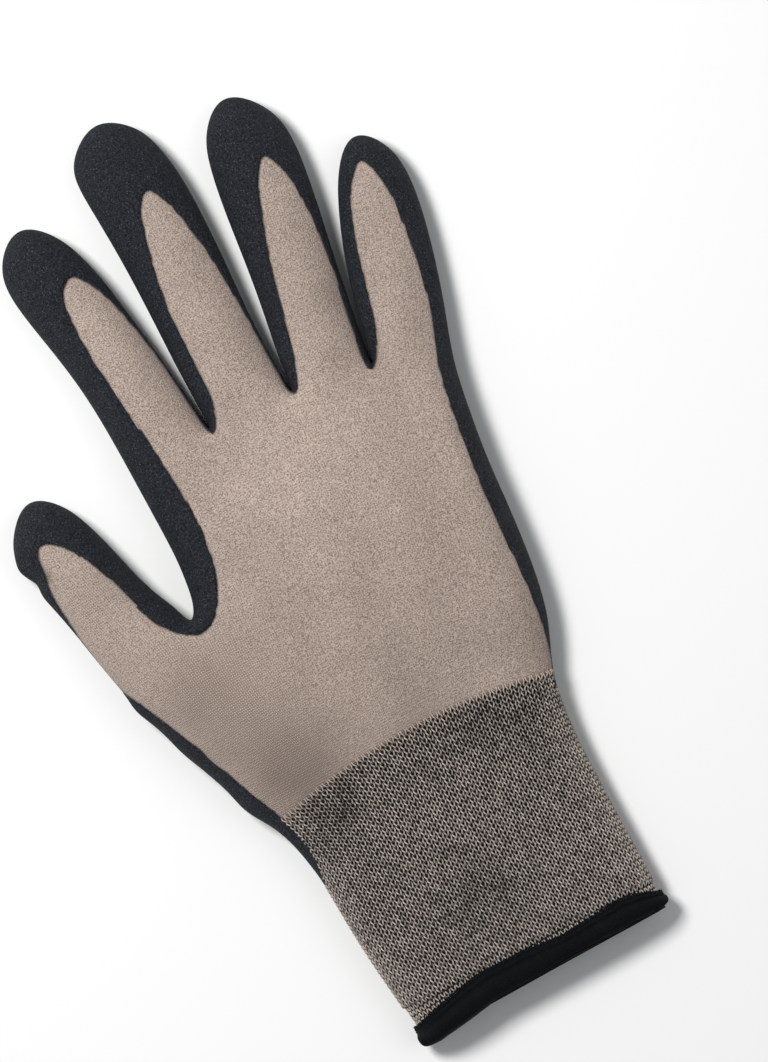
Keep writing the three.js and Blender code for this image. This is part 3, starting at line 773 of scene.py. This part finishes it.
grid_around = np.roll(grid, -1, axis=1) - np.roll(grid, 1, axis=1)
grid_along = np.gradient(grid, axis=0)
grid_normal = np.cross(grid_along, grid_around)
grid_normal /= np.linalg.norm(grid_normal, axis=2)[:, :, None]
if (grid_normal[:, :, 2] * (grid[:, :, 2] - INSIDE_Z)).sum() < 0:
    grid_normal = -grid_normal


def on_cuff(wale, course, height):
    """Places above the cuff's grid: wale and course count stitches, height is in millimetres."""
    column, row = wale * 4, np.clip(course * 2, 0, len(grid) - 1.001)
    c0, r0 = np.floor(column).astype(int), np.floor(row).astype(int)
    fc, fr = (column - c0)[:, None], (row - r0)[:, None]
    c0, c1 = c0 % ROUND, (c0 + 1) % ROUND

    def blend(values):
        low = values[r0, c0] * (1 - fc) + values[r0, c1] * fc
        high = values[r0 + 1, c0] * (1 - fc) + values[r0 + 1, c1] * fc
        return low * (1 - fr) + high * fr

    return blend(grid) + blend(grid_normal) * np.reshape(height, (-1, 1))


# %% [markdown]
# A yarn is a tube with few sides along a line of points. Each loop leans over its neighbours: its two
# legs come to the front as the two strokes of a V, and its head and foot lie behind the next courses. The
# pale yarn is thin for its loops, so the black elastic thread inside shows in every gap. Where more of it
# shows, the cuff has dark patches, and those are given as a small table.


# %% Yarn
SIDES = 5  # of a yarn's tube


def quads_between(low, high):
    """Faces between two rows of point numbers that close on themselves."""
    corners = [low, np.roll(low, -1, axis=-1), np.roll(high, -1, axis=-1), high]
    return np.stack(corners, axis=-1).reshape(-1, 4)


def yarn(line, radius, sides=SIDES):
    """Closed tubes along lines of points. line is (lines, points, 3); returns points and faces."""
    run = np.roll(line, -1, axis=1) - np.roll(line, 1, axis=1)
    run /= np.linalg.norm(run, axis=2)[:, :, None] + 1e-12
    up = np.cross(run, np.roll(run, 1, axis=2) + 0.3)
    up /= np.linalg.norm(up, axis=2)[:, :, None] + 1e-12
    across = np.cross(run, up)
    turn = np.arange(sides) / sides * 2 * math.pi
    ring = up[:, :, None] * np.cos(turn)[:, None] + across[:, :, None] * np.sin(turn)[:, None]
    points = line[:, :, None] + ring * radius
    index = np.arange(points[..., 0].size).reshape(points.shape[:3])
    return points.reshape(-1, 3), quads_between(index, np.roll(index, -1, axis=1))


# %% Knit the cuff
LOOP_STEPS = 10
YARN, JOIN_YARN = 0.19, 0.2  # radius
YARN_DEPTH = 0.5
PRESSED = 0.6  # how much deeper the yarn lies where the coat covers it
PRESSED_FROM = (-0.3, 0.4)  # distances inside the coat's edge between which it is pressed down
WAVE, REACH, LEAN = 0.25, 0.78, 0.42  # a loop's swing sideways, along the wale and in depth
SWAY, SLIP = 0.09, 0.11  # how much the loops stray from that, sideways and along the wale
RIGHT_LEG_SHADE = 0.1  # painted shade on the right leg of each V, as if it faced away from the light
HEM_COVERS = 4.3
FIRST_COURSE = round(HEM_COVERS / COURSE)
CUFF_SHADES = table(
    "name x y reach dark",
    ("under_thumb_side", -20, -46, 9, 0.24),
    ("left_edge", -31, -52, 9, 0.2),
    ("seam_middle", 2, -42, 9, 0.12),
    ("seam_right", 18, -44, 9, 0.18),
    ("seam_end", 33, -50, 11, 0.26),
    ("low_blotch", -1, -83, 12, 0.24),
    ("left_middle", -27, -74, 9, 0.1),
    ("right_edge", 38, -72, 7, 0.1),
)


def course_line(course):
    """One course of loops round the cuff, and how much painted shade each place of the yarn gets, from 0 to
    1.
    """
    t = np.arange(WALES * LOOP_STEPS) / LOOP_STEPS * 2 * math.pi
    own = chance.uniform(-1, 1, (2, WALES))
    sway, slip = (np.interp(t / (2 * math.pi), np.arange(WALES + 1), np.append(row, row[0])) for row in own)
    wale = t / (2 * math.pi) + WAVE * np.sin(2 * t) + SWAY * sway
    rows = course - REACH * np.cos(t) + SLIP * slip
    height = -YARN_DEPTH - LEAN * np.cos(2 * t)
    height -= PRESSED * smoothstep(-past_coat(on_cuff(wale, rows, height)), *PRESSED_FROM)
    behind = np.cos(t) ** 2 + RIGHT_LEG_SHADE * (np.sin(t) < 0)
    return on_cuff(wale, rows, height), wale, rows, behind


def knit_courses(name, courses, radius, node, shades):
    lines, *along = (np.array(part) for part in zip(*[course_line(c) for c in courses]))
    points, faces = yarn(lines, radius)
    wales, rows, behind = (np.repeat(part.ravel(), SIDES) for part in along)
    knit = np.stack([wales, rows], axis=1)
    values = dict(shade=near(points, shades, "dark"), behind=behind)
    return make_piece(name, points, faces, node, knit * [WALE, COURSE], values)


third = (COURSES - FIRST_COURSE) // 3
cuts = [FIRST_COURSE, FIRST_COURSE + third, FIRST_COURSE + 2 * third, COURSES]
cuff_pieces = [
    knit_courses(f"cuff_knit_{name}", range(cuts[i], cuts[i + 1]), YARN, "wrist_cuff", CUFF_SHADES)
    for i, name in enumerate(("lower", "middle", "upper"))
]

# %% [markdown]
# The hand's knit starts from the cuff's last course. Its first stitches are in the tan yarn, but as wide as
# the cuff's, so they show as a row of small teeth over the black thread.

# %% Join the hand to the cuff
JOIN_COURSE = COURSES + 0.05
join_piece = knit_courses("join_stitches", [JOIN_COURSE], JOIN_YARN, "hand_shell", TAN_PAINTED_SHADE_AND_LIGHT)

# %% [markdown]
# Behind the loops lies the black elastic that is knitted in with them. Its single threads hardly show
# through the gaps, so it is one sleeve, closed at both ends and as thick as the cuff's wall.

# %% The elastic under the loops
CORE_DEPTH, CORE_INNER = 0.86, 2.4  # its outer and inner face, below the cuff's outside
core_rows, core_count = 2 * COURSES + 2, 2 * WALES
core_grid = (grid - grid_normal * CORE_DEPTH)[:core_rows, ::2]
inner_grid = (grid - grid_normal * CORE_INNER)[:core_rows, ::2]
index = np.arange(core_rows * core_count).reshape(core_rows, core_count)
right = np.roll(index, -1, axis=1)
core_faces = quads_between(index[:-1], index[1:])
core_points = np.concatenate([core_grid.reshape(-1, 3), inner_grid.reshape(-1, 3)])
rim_low = np.stack([right[0], index[0], index[0] + index.size, right[0] + index.size], axis=-1)
rim_high = np.stack([index[-1], right[-1], right[-1] + index.size, index[-1] + index.size], axis=-1)
core_faces = np.vstack([core_faces, core_faces[:, ::-1] + index.size, rim_low, rim_high])
core_along = np.arange(core_rows) * half_course
core_knit = np.stack(np.meshgrid(np.arange(core_count) / 2 * WALE, core_along), axis=-1).reshape(-1, 2)
core_knit = np.tile(core_knit, (2, 1))
core_piece = make_piece("cuff_core", core_points, core_faces, "wrist_cuff", core_knit)

# %% [markdown]
# The hem is overlocked: the cuff's end is wrapped by fine black thread, packed so close that it makes a
# soft roll, and a row of needle stitches holds the roll down along its upper edge. A padded core carries
# the form, and the wrapping threads over it are real loops. Along the cuff the roll's width and fullness
# change, as in the second table.

# %% The hem's roll
HEM_TOP = 6.3
SECTION_PIECES = 3
HEM_SECTION = [  # how far out from the skin, and how far up from the cuff's end
    *[(-2.0, -0.35), (-0.9, -0.3), (0.2, 0.4), (0.66, 1.9), (0.6, 3.5), (0.22, 4.5), (0.3, 5.2)],
    *[(0.1, 5.9), (-0.7, HEM_TOP), (-1.6, 5.6), (-2.9, 5.2), (-3.5, 4.0), (-3.6, 1.6), (-3.1, 0.2)],
]
HEM_EDGES = table(  # across the cuff: how far the roll's two edges lie from its end, and how full it is
    "x low high full",
    (-31, -1.5, 3.4, 1.1),
    (-27, -1.5, 4.6, 1.4),
    (-18, -0.5, 6.6, 1.3),
    (-9, 0.8, 7.9, 1.1),
    (4, 0.8, 7.3, 0.7),
    (13, 1.2, 6.2, 0.6),
    (22, 0.9, 6.7, 1.1),
    (27, 0.6, 7.0, 1.4),
    (30, 0.9, 7.2, 0.9),
    (35, 0.6, 6.3, 1.2),
    (38, 0.7, 5.0, 1.1),
    (40, 0.8, 4.0, 1.0),
)
hem_long = grid_along[0] / np.linalg.norm(grid_along[0], axis=1)[:, None]


def on_hem(around, out, up):
    """Places on the hem: around counts the grid's columns, out and up are in millimetres."""
    column = np.floor(around).astype(int)
    share = (around - column)[:, None]
    a, b = column % ROUND, (column + 1) % ROUND
    base, normal, along = (v[a] * (1 - share) + v[b] * share for v in (grid[0], grid_normal[0], hem_long))
    places, *edges = ([row[key] for row in HEM_EDGES] for key in ("x", "low", "high", "full"))
    low, high, full = (np.interp(base[:, 0], places, edge) for edge in edges)
    up = low + (high - low) * up / HEM_TOP
    out = np.where(out > 0, out * full, out)
    return base + normal * out[:, None] + along * up[:, None]


section = smooth_line([*HEM_SECTION, HEM_SECTION[0]], SECTION_PIECES)[:-1]
ring_at = np.repeat(np.arange(ROUND) * 1.0, len(section))
hem_points = on_hem(ring_at, *np.tile(section.T, ROUND))
index = np.arange(ROUND * len(section)).reshape(ROUND, -1)
hem_faces = quads_between(index, np.roll(index, -1, axis=0))
hem_piece = make_piece("hem_core", hem_points, hem_faces, "hem_binding")

# %% The hem's threads
HEM_THREADS = 480
THREAD, NEEDLE_THREAD = 0.17, 0.24  # radius
WRAP_STEPS = 28
SLANT = 2.2  # how far a thread runs along the hem as it goes round the roll, in grid columns
STRAY, THICKER = 0.2, 0.012  # how much the threads differ, along the hem and in how far out they lie
closed_section = np.vstack([section, section[:1]])
wrap_at = np.linspace(0, len(section), WRAP_STEPS + 1)[:-1]
wrap_out = np.interp(wrap_at, np.arange(len(section) + 1), closed_section[:, 0])
wrap_up = np.interp(wrap_at, np.arange(len(section) + 1), closed_section[:, 1])
wrap_lines = []
for k in range(HEM_THREADS):
    start = k / HEM_THREADS * ROUND
    slant = np.sin(wrap_at / len(section) * 2 * math.pi) * SLANT
    swell = 1.0 + THICKER * chance.uniform(-1, 1)
    at = start + slant + chance.uniform(-STRAY, STRAY)
    wrap_lines.append(on_hem(at, wrap_out * swell, wrap_up * swell))
thread_points, thread_faces = yarn(np.array(wrap_lines), THREAD, sides=4)
thread_piece = make_piece("hem_threads", thread_points, thread_faces, "hem_binding")

# the needle stitches: two threads that cross each other at every wale
NEEDLE_UP, NEEDLE_SWING = 6.1, 0.85
NEEDLE_OUT, NEEDLE_LIFT = 0.05, 0.22
NEEDLE_STEPS = 8  # places along the thread for each wale
stitch_turn = np.arange(WALES * NEEDLE_STEPS) / NEEDLE_STEPS * 2 * math.pi
needle_lines = []
for turn in (0, math.pi):
    across = stitch_turn / (2 * math.pi) * 4
    out = NEEDLE_OUT + NEEDLE_LIFT * np.cos(2 * stitch_turn) * (1 if turn else -1)
    needle_lines.append(on_hem(across, out, NEEDLE_UP + NEEDLE_SWING * np.sin(stitch_turn + turn)))
needle_points, needle_faces = yarn(np.array(needle_lines), NEEDLE_THREAD)
needle_piece = make_piece("hem_stitches", needle_points, needle_faces, "hem_binding")

# %% [markdown]
# Every finish below is made of nodes. One helper adds a node with its settings and links, and one turns
# an sRGB colour, as it is read off a screen, into the linear colour that Blender works with. A pattern's
# scale is the number of its grains in a millimetre, so it is one over their real size.


# %% Helpers that make a material
def linear(colour):
    """An sRGB hex colour such as "a99a8f" as linear RGBA."""
    parts = [int(colour[i : i + 2], 16) / 255 for i in (0, 2, 4)]
    return (*[c / 12.92 if c <= 0.04045 else ((c + 0.055) / 1.055) ** 2.4 for c in parts], 1.0)


def feed(tree, node, **inputs):
    """Gives a node's inputs, by name or number, a value, a socket, or a node for its first output."""
    for key, value in inputs.items():
        socket = node.inputs[int(key[1:]) if key[1:].isdigit() else key.replace("_", " ")]
        if isinstance(value, bpy.types.Node):
            value = value.outputs[0]
        if isinstance(value, bpy.types.NodeSocket):
            tree.links.new(value, socket)
        else:
            socket.default_value = value


def add(tree, kind, settings=None, **inputs):
    """Adds a node. settings are its own options."""
    node = tree.nodes.new("ShaderNode" + kind)
    for key, value in (settings or {}).items():
        setattr(node, key, value)
    feed(tree, node, **inputs)
    return node


def new_material(name):
    material = bpy.data.materials.new(name)
    material.use_nodes = True
    tree = material.node_tree
    return material, tree, tree.nodes["Principled BSDF"]


# %% What the patterns are laid on
TIMES, MINUS, TIMES_PLUS = (dict(operation=name) for name in ("MULTIPLY", "SUBTRACT", "MULTIPLY_ADD"))
COLOURS = dict(data_type="RGBA")
KNIT = dict(uv_map="knit")  # lengths across and along the columns of stitches, in millimetres


def millimetres(tree):
    """Places on the glove in millimetres."""
    place = add(tree, "TexCoord").outputs["Object"]
    return add(tree, "VectorMath", dict(operation="SCALE"), i0=place, Scale=1 / MM)


def bands_scale(pitch):
    """The Wave node's scale for bands that repeat every so many millimetres."""
    return 2 * math.pi / (20 * pitch)


# %% [markdown]
# The hand is polyester yarn, knitted fine and brushed on the outside. Brushing lifts the fibres into a short
# nap, so light falls off softly and the surface looks like peach skin: full roughness, a little sheen, and
# a grain of about 0.4 mm, with painted shade in its gaps and painted light on its tips. Where the nap is
# worn, the columns of stitches show through as fine rows with a painted dark dot of shade between the legs of
# each V. Close to the coat the yarn has soaked up some of the black.


# %% Brushed tan knit
NAP, PATCHES = 2.7, 0.07  # in a millimetre: tufts of the nap, and places that are slightly lighter


def brushed_knit():
    material, tree, shader = new_material("brushed_tan_knit")
    place, lengths = millimetres(tree), add(tree, "UVMap", KNIT)
    bare = add(tree, "Attribute", dict(attribute_name="bare")).outputs["Fac"]
    dark = add(tree, "Attribute", dict(attribute_name="shade")).outputs["Fac"]
    show = add(tree, "Attribute", dict(attribute_name="rows")).outputs["Fac"]
    nap = add(tree, "TexNoise", Vector=place, Scale=NAP, Detail=2.0, Roughness=0.6)
    slow = add(tree, "TexNoise", Vector=place, Scale=PATCHES, Detail=2.0)

    # the stitches, pushed about a little by the nap
    swayed = add(tree, "VectorMath", TIMES_PLUS, i0=nap.outputs["Color"], i1=(0.3, 0.3, 0), i2=lengths)
    parts = add(tree, "SeparateXYZ", i0=swayed)
    leg_lean = add(tree, "Math", dict(operation="PINGPONG"), i0=parts.outputs["X"], i1=STITCH_WIDE / 2)
    along = add(tree, "Math", TIMES_PLUS, i0=leg_lean, i1=0.6, i2=parts.outputs["Y"])
    v_lengths = add(tree, "CombineXYZ", X=parts.outputs["X"], Y=along)
    legs = add(tree, "TexWave", Vector=v_lengths, Scale=bands_scale(STITCH_WIDE / 2))
    rows = add(tree, "TexWave", dict(bands_direction="Y"), Vector=v_lengths, Scale=bands_scale(STITCH_LONG))
    stitch = add(tree, "Math", TIMES, i0=legs.outputs["Fac"], i1=rows.outputs["Fac"])
    worn = add(tree, "MapRange", Value=show, To_Min=0.15, To_Max=0.85)
    level = add(tree, "MapRange", Value=stitch, To_Min=0.33, To_Max=0.88)
    height = add(tree, "Mix", i0=worn, i2=nap, i3=level)
    bump = add(tree, "Bump", Strength=0.9, Distance=0.00055, Height=height)

    # painted shade in the gaps and painted light on the tips, as the colour follows the height
    tone = add(tree, "MapRange", Value=height, From_Min=0.37, From_Max=0.61)
    colour = add(tree, "Mix", COLOURS, i0=tone, i6=linear("817267"), i7=linear("c2b0a4"))
    # slow patches of lighter tone, then the painted shade and painted light of the liner's table
    evenness = add(tree, "MapRange", Value=slow, From_Min=0.3, From_Max=0.7, To_Min=0.94, To_Max=1.05)
    shade = add(tree, "Math", MINUS, i0=evenness, i1=dark)
    shaded = add(tree, "HueSaturation", Value=shade, Color=colour.outputs[2])

    # black soaked in along the coat's edge, as unevenly as the nap stands
    edge = add(tree, "Math", TIMES_PLUS, i0=nap, i1=-1.5, i2=bare)
    soaked = add(tree, "MapRange", Value=edge, From_Min=-0.64, From_Max=-0.12, To_Min=1.0, To_Max=0.0)
    stained = add(tree, "Mix", COLOURS, i0=soaked, i6=shaded, i7=linear("25272b"))
    feed(tree, shader, Base_Color=stained.outputs[2], Normal=bump, Roughness=0.95, Specular_IOR_Level=0.2)
    feed(tree, shader, Sheen_Weight=0.12, Sheen_Roughness=0.5)
    return material


liner_piece.data.materials.append(brushed_knit())

# %% [markdown]
# The coat is foamed nitrile with a sandy finish. The foam is left with small open pores when it cures, and
# salt is washed out of its skin, which leaves a dull, gritty black with a slight blue cast. The grit is
# about 0.4 mm. The glints on its highest grains are painted highlights: light grey specks about 0.9 mm apart.


# %% Sandy nitrile foam
GRIT, LUMPS, GLINTS = 2.3, 0.22, 1.15  # in a millimetre


def sandy_coat():
    material, tree, shader = new_material("sandy_nitrile_foam")
    place = millimetres(tree)
    grit = add(tree, "TexNoise", Vector=place, Scale=GRIT, Detail=4.0, Roughness=0.75)
    lumps = add(tree, "TexNoise", Vector=place, Scale=LUMPS, Detail=3.0)
    glint_cells = add(tree, "TexVoronoi", Vector=place, Scale=GLINTS)
    height = add(tree, "Math", TIMES_PLUS, i0=lumps, i1=0.8, i2=grit)
    bump = add(tree, "Bump", Strength=1.0, Distance=0.0005, Height=height)
    tone = add(tree, "MapRange", Value=grit, From_Min=0.4, From_Max=0.62)
    colour = add(tree, "Mix", COLOURS, i0=tone, i6=linear("08090b"), i7=linear("32363d"))
    # painted highlights: light grey specks mixed into the colour as the grains' glints
    glint_share = add(tree, "MapRange", Value=glint_cells, From_Min=0.1, From_Max=0.22, To_Min=0.7, To_Max=0.0)
    glinted = add(tree, "Mix", COLOURS, i0=glint_share, i6=colour.outputs[2], i7=linear("5c5f66"))
    dull = add(tree, "MapRange", Value=lumps, From_Min=0.3, From_Max=0.7, To_Min=0.7, To_Max=0.86)
    feed(tree, shader, Base_Color=glinted.outputs[2], Roughness=dull, Normal=bump)
    feed(tree, shader, IOR=1.52, Specular_IOR_Level=0.2)
    return material


coat_piece.data.materials.append(sandy_coat())

# %% [markdown]
# The cuff is the same pale yarn, unbrushed, knitted together with black covered elastic. Each stitch is
# painted a little lighter or darker at random, for the way the yarn's twist turns as it goes and takes the
# light, and where a strand dips behind the next one, and on the right leg of each V, it has painted shade.


# %% Cuff yarn
FIBRES, BLOTCHES = 6.0, 0.11  # in a millimetre


def cuff_yarn():
    material, tree, shader = new_material("elastic_cuff_yarn")
    place, lengths = millimetres(tree), add(tree, "UVMap", KNIT)
    behind = add(tree, "Attribute", dict(attribute_name="behind")).outputs["Fac"]
    shade = add(tree, "Attribute", dict(attribute_name="shade")).outputs["Fac"]
    legs = add(tree, "VectorMath", dict(operation="DIVIDE"), i0=lengths, i1=(WALE / 2, COURSE, 1))
    leg = add(tree, "VectorMath", dict(operation="FLOOR"), i0=legs)
    own = add(tree, "TexWhiteNoise", dict(noise_dimensions="2D"), Vector=leg)
    slow = add(tree, "TexNoise", Vector=place, Scale=BLOTCHES, Detail=3.0, Roughness=0.6)
    fibre = add(tree, "TexNoise", Vector=place, Scale=FIBRES, Detail=3.0)

    each = add(tree, "MapRange", Value=own, To_Min=0.6, To_Max=1.1)
    patch = add(tree, "MapRange", Value=slow, From_Min=0.35, From_Max=0.65, To_Min=1.5, To_Max=0.35)
    dark = add(tree, "Math", TIMES, i0=patch, i1=shade)
    lit = add(tree, "Math", MINUS, i0=each, i1=dark)
    # painted shade where the yarn dips behind the next course, and on the right legs
    dip_shade = add(tree, "MapRange", Value=behind, From_Min=0.03, From_Max=0.5, To_Min=1.0, To_Max=0.32)
    value = add(tree, "Math", TIMES, i0=lit, i1=dip_shade)
    colour = add(tree, "HueSaturation", Value=value, Color=linear("c9bdb3"))
    bump = add(tree, "Bump", Strength=0.7, Distance=0.00008, Height=fibre)
    feed(tree, shader, Base_Color=colour, Normal=bump, Roughness=0.9, Specular_IOR_Level=0.25)
    return material


cuff_material = cuff_yarn()
for piece in cuff_pieces:
    piece.data.materials.append(cuff_material)

# %% [markdown]
# Covered elastic is a rubber thread wound with fine black yarn. It is nearly black, with a brown cast from
# the rubber, and its turns are drawn half a course apart, much coarser than they are, so that they show.


# %% Covered elastic
def dark_elastic():
    material, tree, shader = new_material("dark_elastic_thread")
    lengths, scale = add(tree, "UVMap", KNIT), bands_scale(COURSE / 2)
    bands = dict(bands_direction="Y")
    wave = add(tree, "TexWave", bands, Vector=lengths, Scale=scale, Distortion=1.5, Detail=2.0)
    turns = wave.outputs["Fac"]
    colour = add(tree, "Mix", COLOURS, i0=turns, i6=linear("0b0a09"), i7=linear("1a1613"))
    bump = add(tree, "Bump", Strength=0.8, Distance=0.0002, Height=turns)
    feed(tree, shader, Base_Color=colour.outputs[2], Normal=bump, Roughness=0.85, Specular_IOR_Level=0.2)
    return material


core_piece.data.materials.append(dark_elastic())

# %% [markdown]
# The row of stitches that joins the hand to the cuff is the hand's tan polyester yarn, knitted but not yet
# brushed, so it is smoother and a little lighter than the nap beside it.


# %% Tan joining yarn
LOOSE_FIBRES = 2.0  # in a millimetre


def joining_yarn():
    material, tree, shader = new_material("tan_joining_yarn")
    dark = add(tree, "Attribute", dict(attribute_name="shade")).outputs["Fac"]
    fibre = add(tree, "TexNoise", Vector=millimetres(tree), Scale=LOOSE_FIBRES, Detail=4.0)
    colour = add(tree, "Mix", COLOURS, i0=fibre, i6=linear("95867b"), i7=linear("c9b8ab"))
    # painted shade and painted light from the hand's table
    shade = add(tree, "Math", MINUS, i0=1.0, i1=dark)
    shaded = add(tree, "HueSaturation", Value=shade, Color=colour.outputs[2])
    bump = add(tree, "Bump", Strength=0.6, Distance=0.0001, Height=fibre)
    feed(tree, shader, Base_Color=shaded, Normal=bump, Roughness=0.92)
    return material


join_piece.data.materials.append(joining_yarn())

# %% [markdown]
# The overlock thread is crimped nylon, black, with many loose filaments. The crimp scatters the light, so the
# roll looks soft and almost even, with only a faint shine along the top and a few grey filaments.


# %% Black overlock thread
CRIMP = 3.0  # in a millimetre


def overlock_thread():
    material, tree, shader = new_material("black_overlock_thread")
    crimp = add(tree, "TexNoise", Vector=millimetres(tree), Scale=CRIMP, Detail=5.0, Roughness=0.7)
    tone = add(tree, "MapRange", Value=crimp, From_Min=0.45, From_Max=0.68)
    colour = add(tree, "Mix", COLOURS, i0=tone, i6=linear("040507"), i7=linear("14181d"))
    bump = add(tree, "Bump", Strength=0.6, Distance=0.00015, Height=crimp)
    feed(tree, shader, Base_Color=colour.outputs[2], Normal=bump, Roughness=0.62, Specular_IOR_Level=0.12)
    return material


hem_material = overlock_thread()
for piece in (hem_piece, thread_piece, needle_piece):
    piece.data.materials.append(hem_material)

# %% [markdown]
# The glove lies on a plain pale floor. It is seen from straight above, under a soft light from the left and
# a larger, weaker one from the right, as in an even studio.

# %% Floor
FLOOR_HALF, FLOOR_Z = 1.5, -0.0009  # the floor is just under the lowest part of the coat
floor_mesh = bpy.data.meshes.new("floor")
bm = bmesh.new()
bmesh.ops.create_grid(bm, x_segments=2, y_segments=2, size=FLOOR_HALF)
bm.to_mesh(floor_mesh)
bm.free()
floor = put("floor", floor_mesh)
floor.location.z = FLOOR_Z
floor_material, tree, shader = new_material("pale_paper")
feed(tree, shader, Base_Color=linear("f1f1ef"), Roughness=0.95)
floor_mesh.materials.append(floor_material)

# %% Camera
TILT = math.radians(27.5)  # how far the glove leans to the left in the picture, by its tables
PICTURE_TURN = TURN - TILT
VIEW_CENTRE = (20.1, 9.1, 8.0)
FRAME_TALL = 0.2676
LENS, SENSOR = 300, 36  # a long lens from far off, so that the sides are hardly seen
camera_data = bpy.data.cameras.new("camera")
camera_data.lens, camera_data.sensor_width = LENS, SENSOR
camera = put("camera", camera_data)
camera.location = Vector(in_frame(VIEW_CENTRE)[0]) + Vector((0, 0, FRAME_TALL * LENS / SENSOR))
camera.rotation_euler = (0, 0, PICTURE_TURN)
bpy.context.scene.camera = camera

# %% Lights
LAMPS = table(
    "name right up height size power",
    ("key", -0.46, 0.28, 0.96, 0.3, 11.6),
    ("fill", 0.7, 0.1, 0.9, 0.8, 1.5),
)


def add_lamp(name, right, up, height, size, power):
    """A square soft light, placed by the picture's right and up, aimed at the glove."""
    data = bpy.data.lights.new(name, "AREA")
    data.shape, data.size, data.energy = "SQUARE", size, power
    cos, sin = math.cos(PICTURE_TURN), math.sin(PICTURE_TURN)
    place = Vector((right * cos - up * sin, right * sin + up * cos, height))
    lamp = put(name, data)
    lamp.location = place
    lamp.rotation_euler = (-place).to_track_quat("-Z", "Y").to_euler()


for lamp in LAMPS:
    add_lamp(**lamp)
world = bpy.data.worlds.new("studio")
world.use_nodes = True
feed(world.node_tree, world.node_tree.nodes["Background"], Color=linear("e8ebf0"), Strength=0.32)
bpy.context.scene.world = world
bpy.context.scene.view_settings.view_transform = "Standard"
print("lamps:", len(LAMPS), "meshes:", len(bpy.data.meshes))
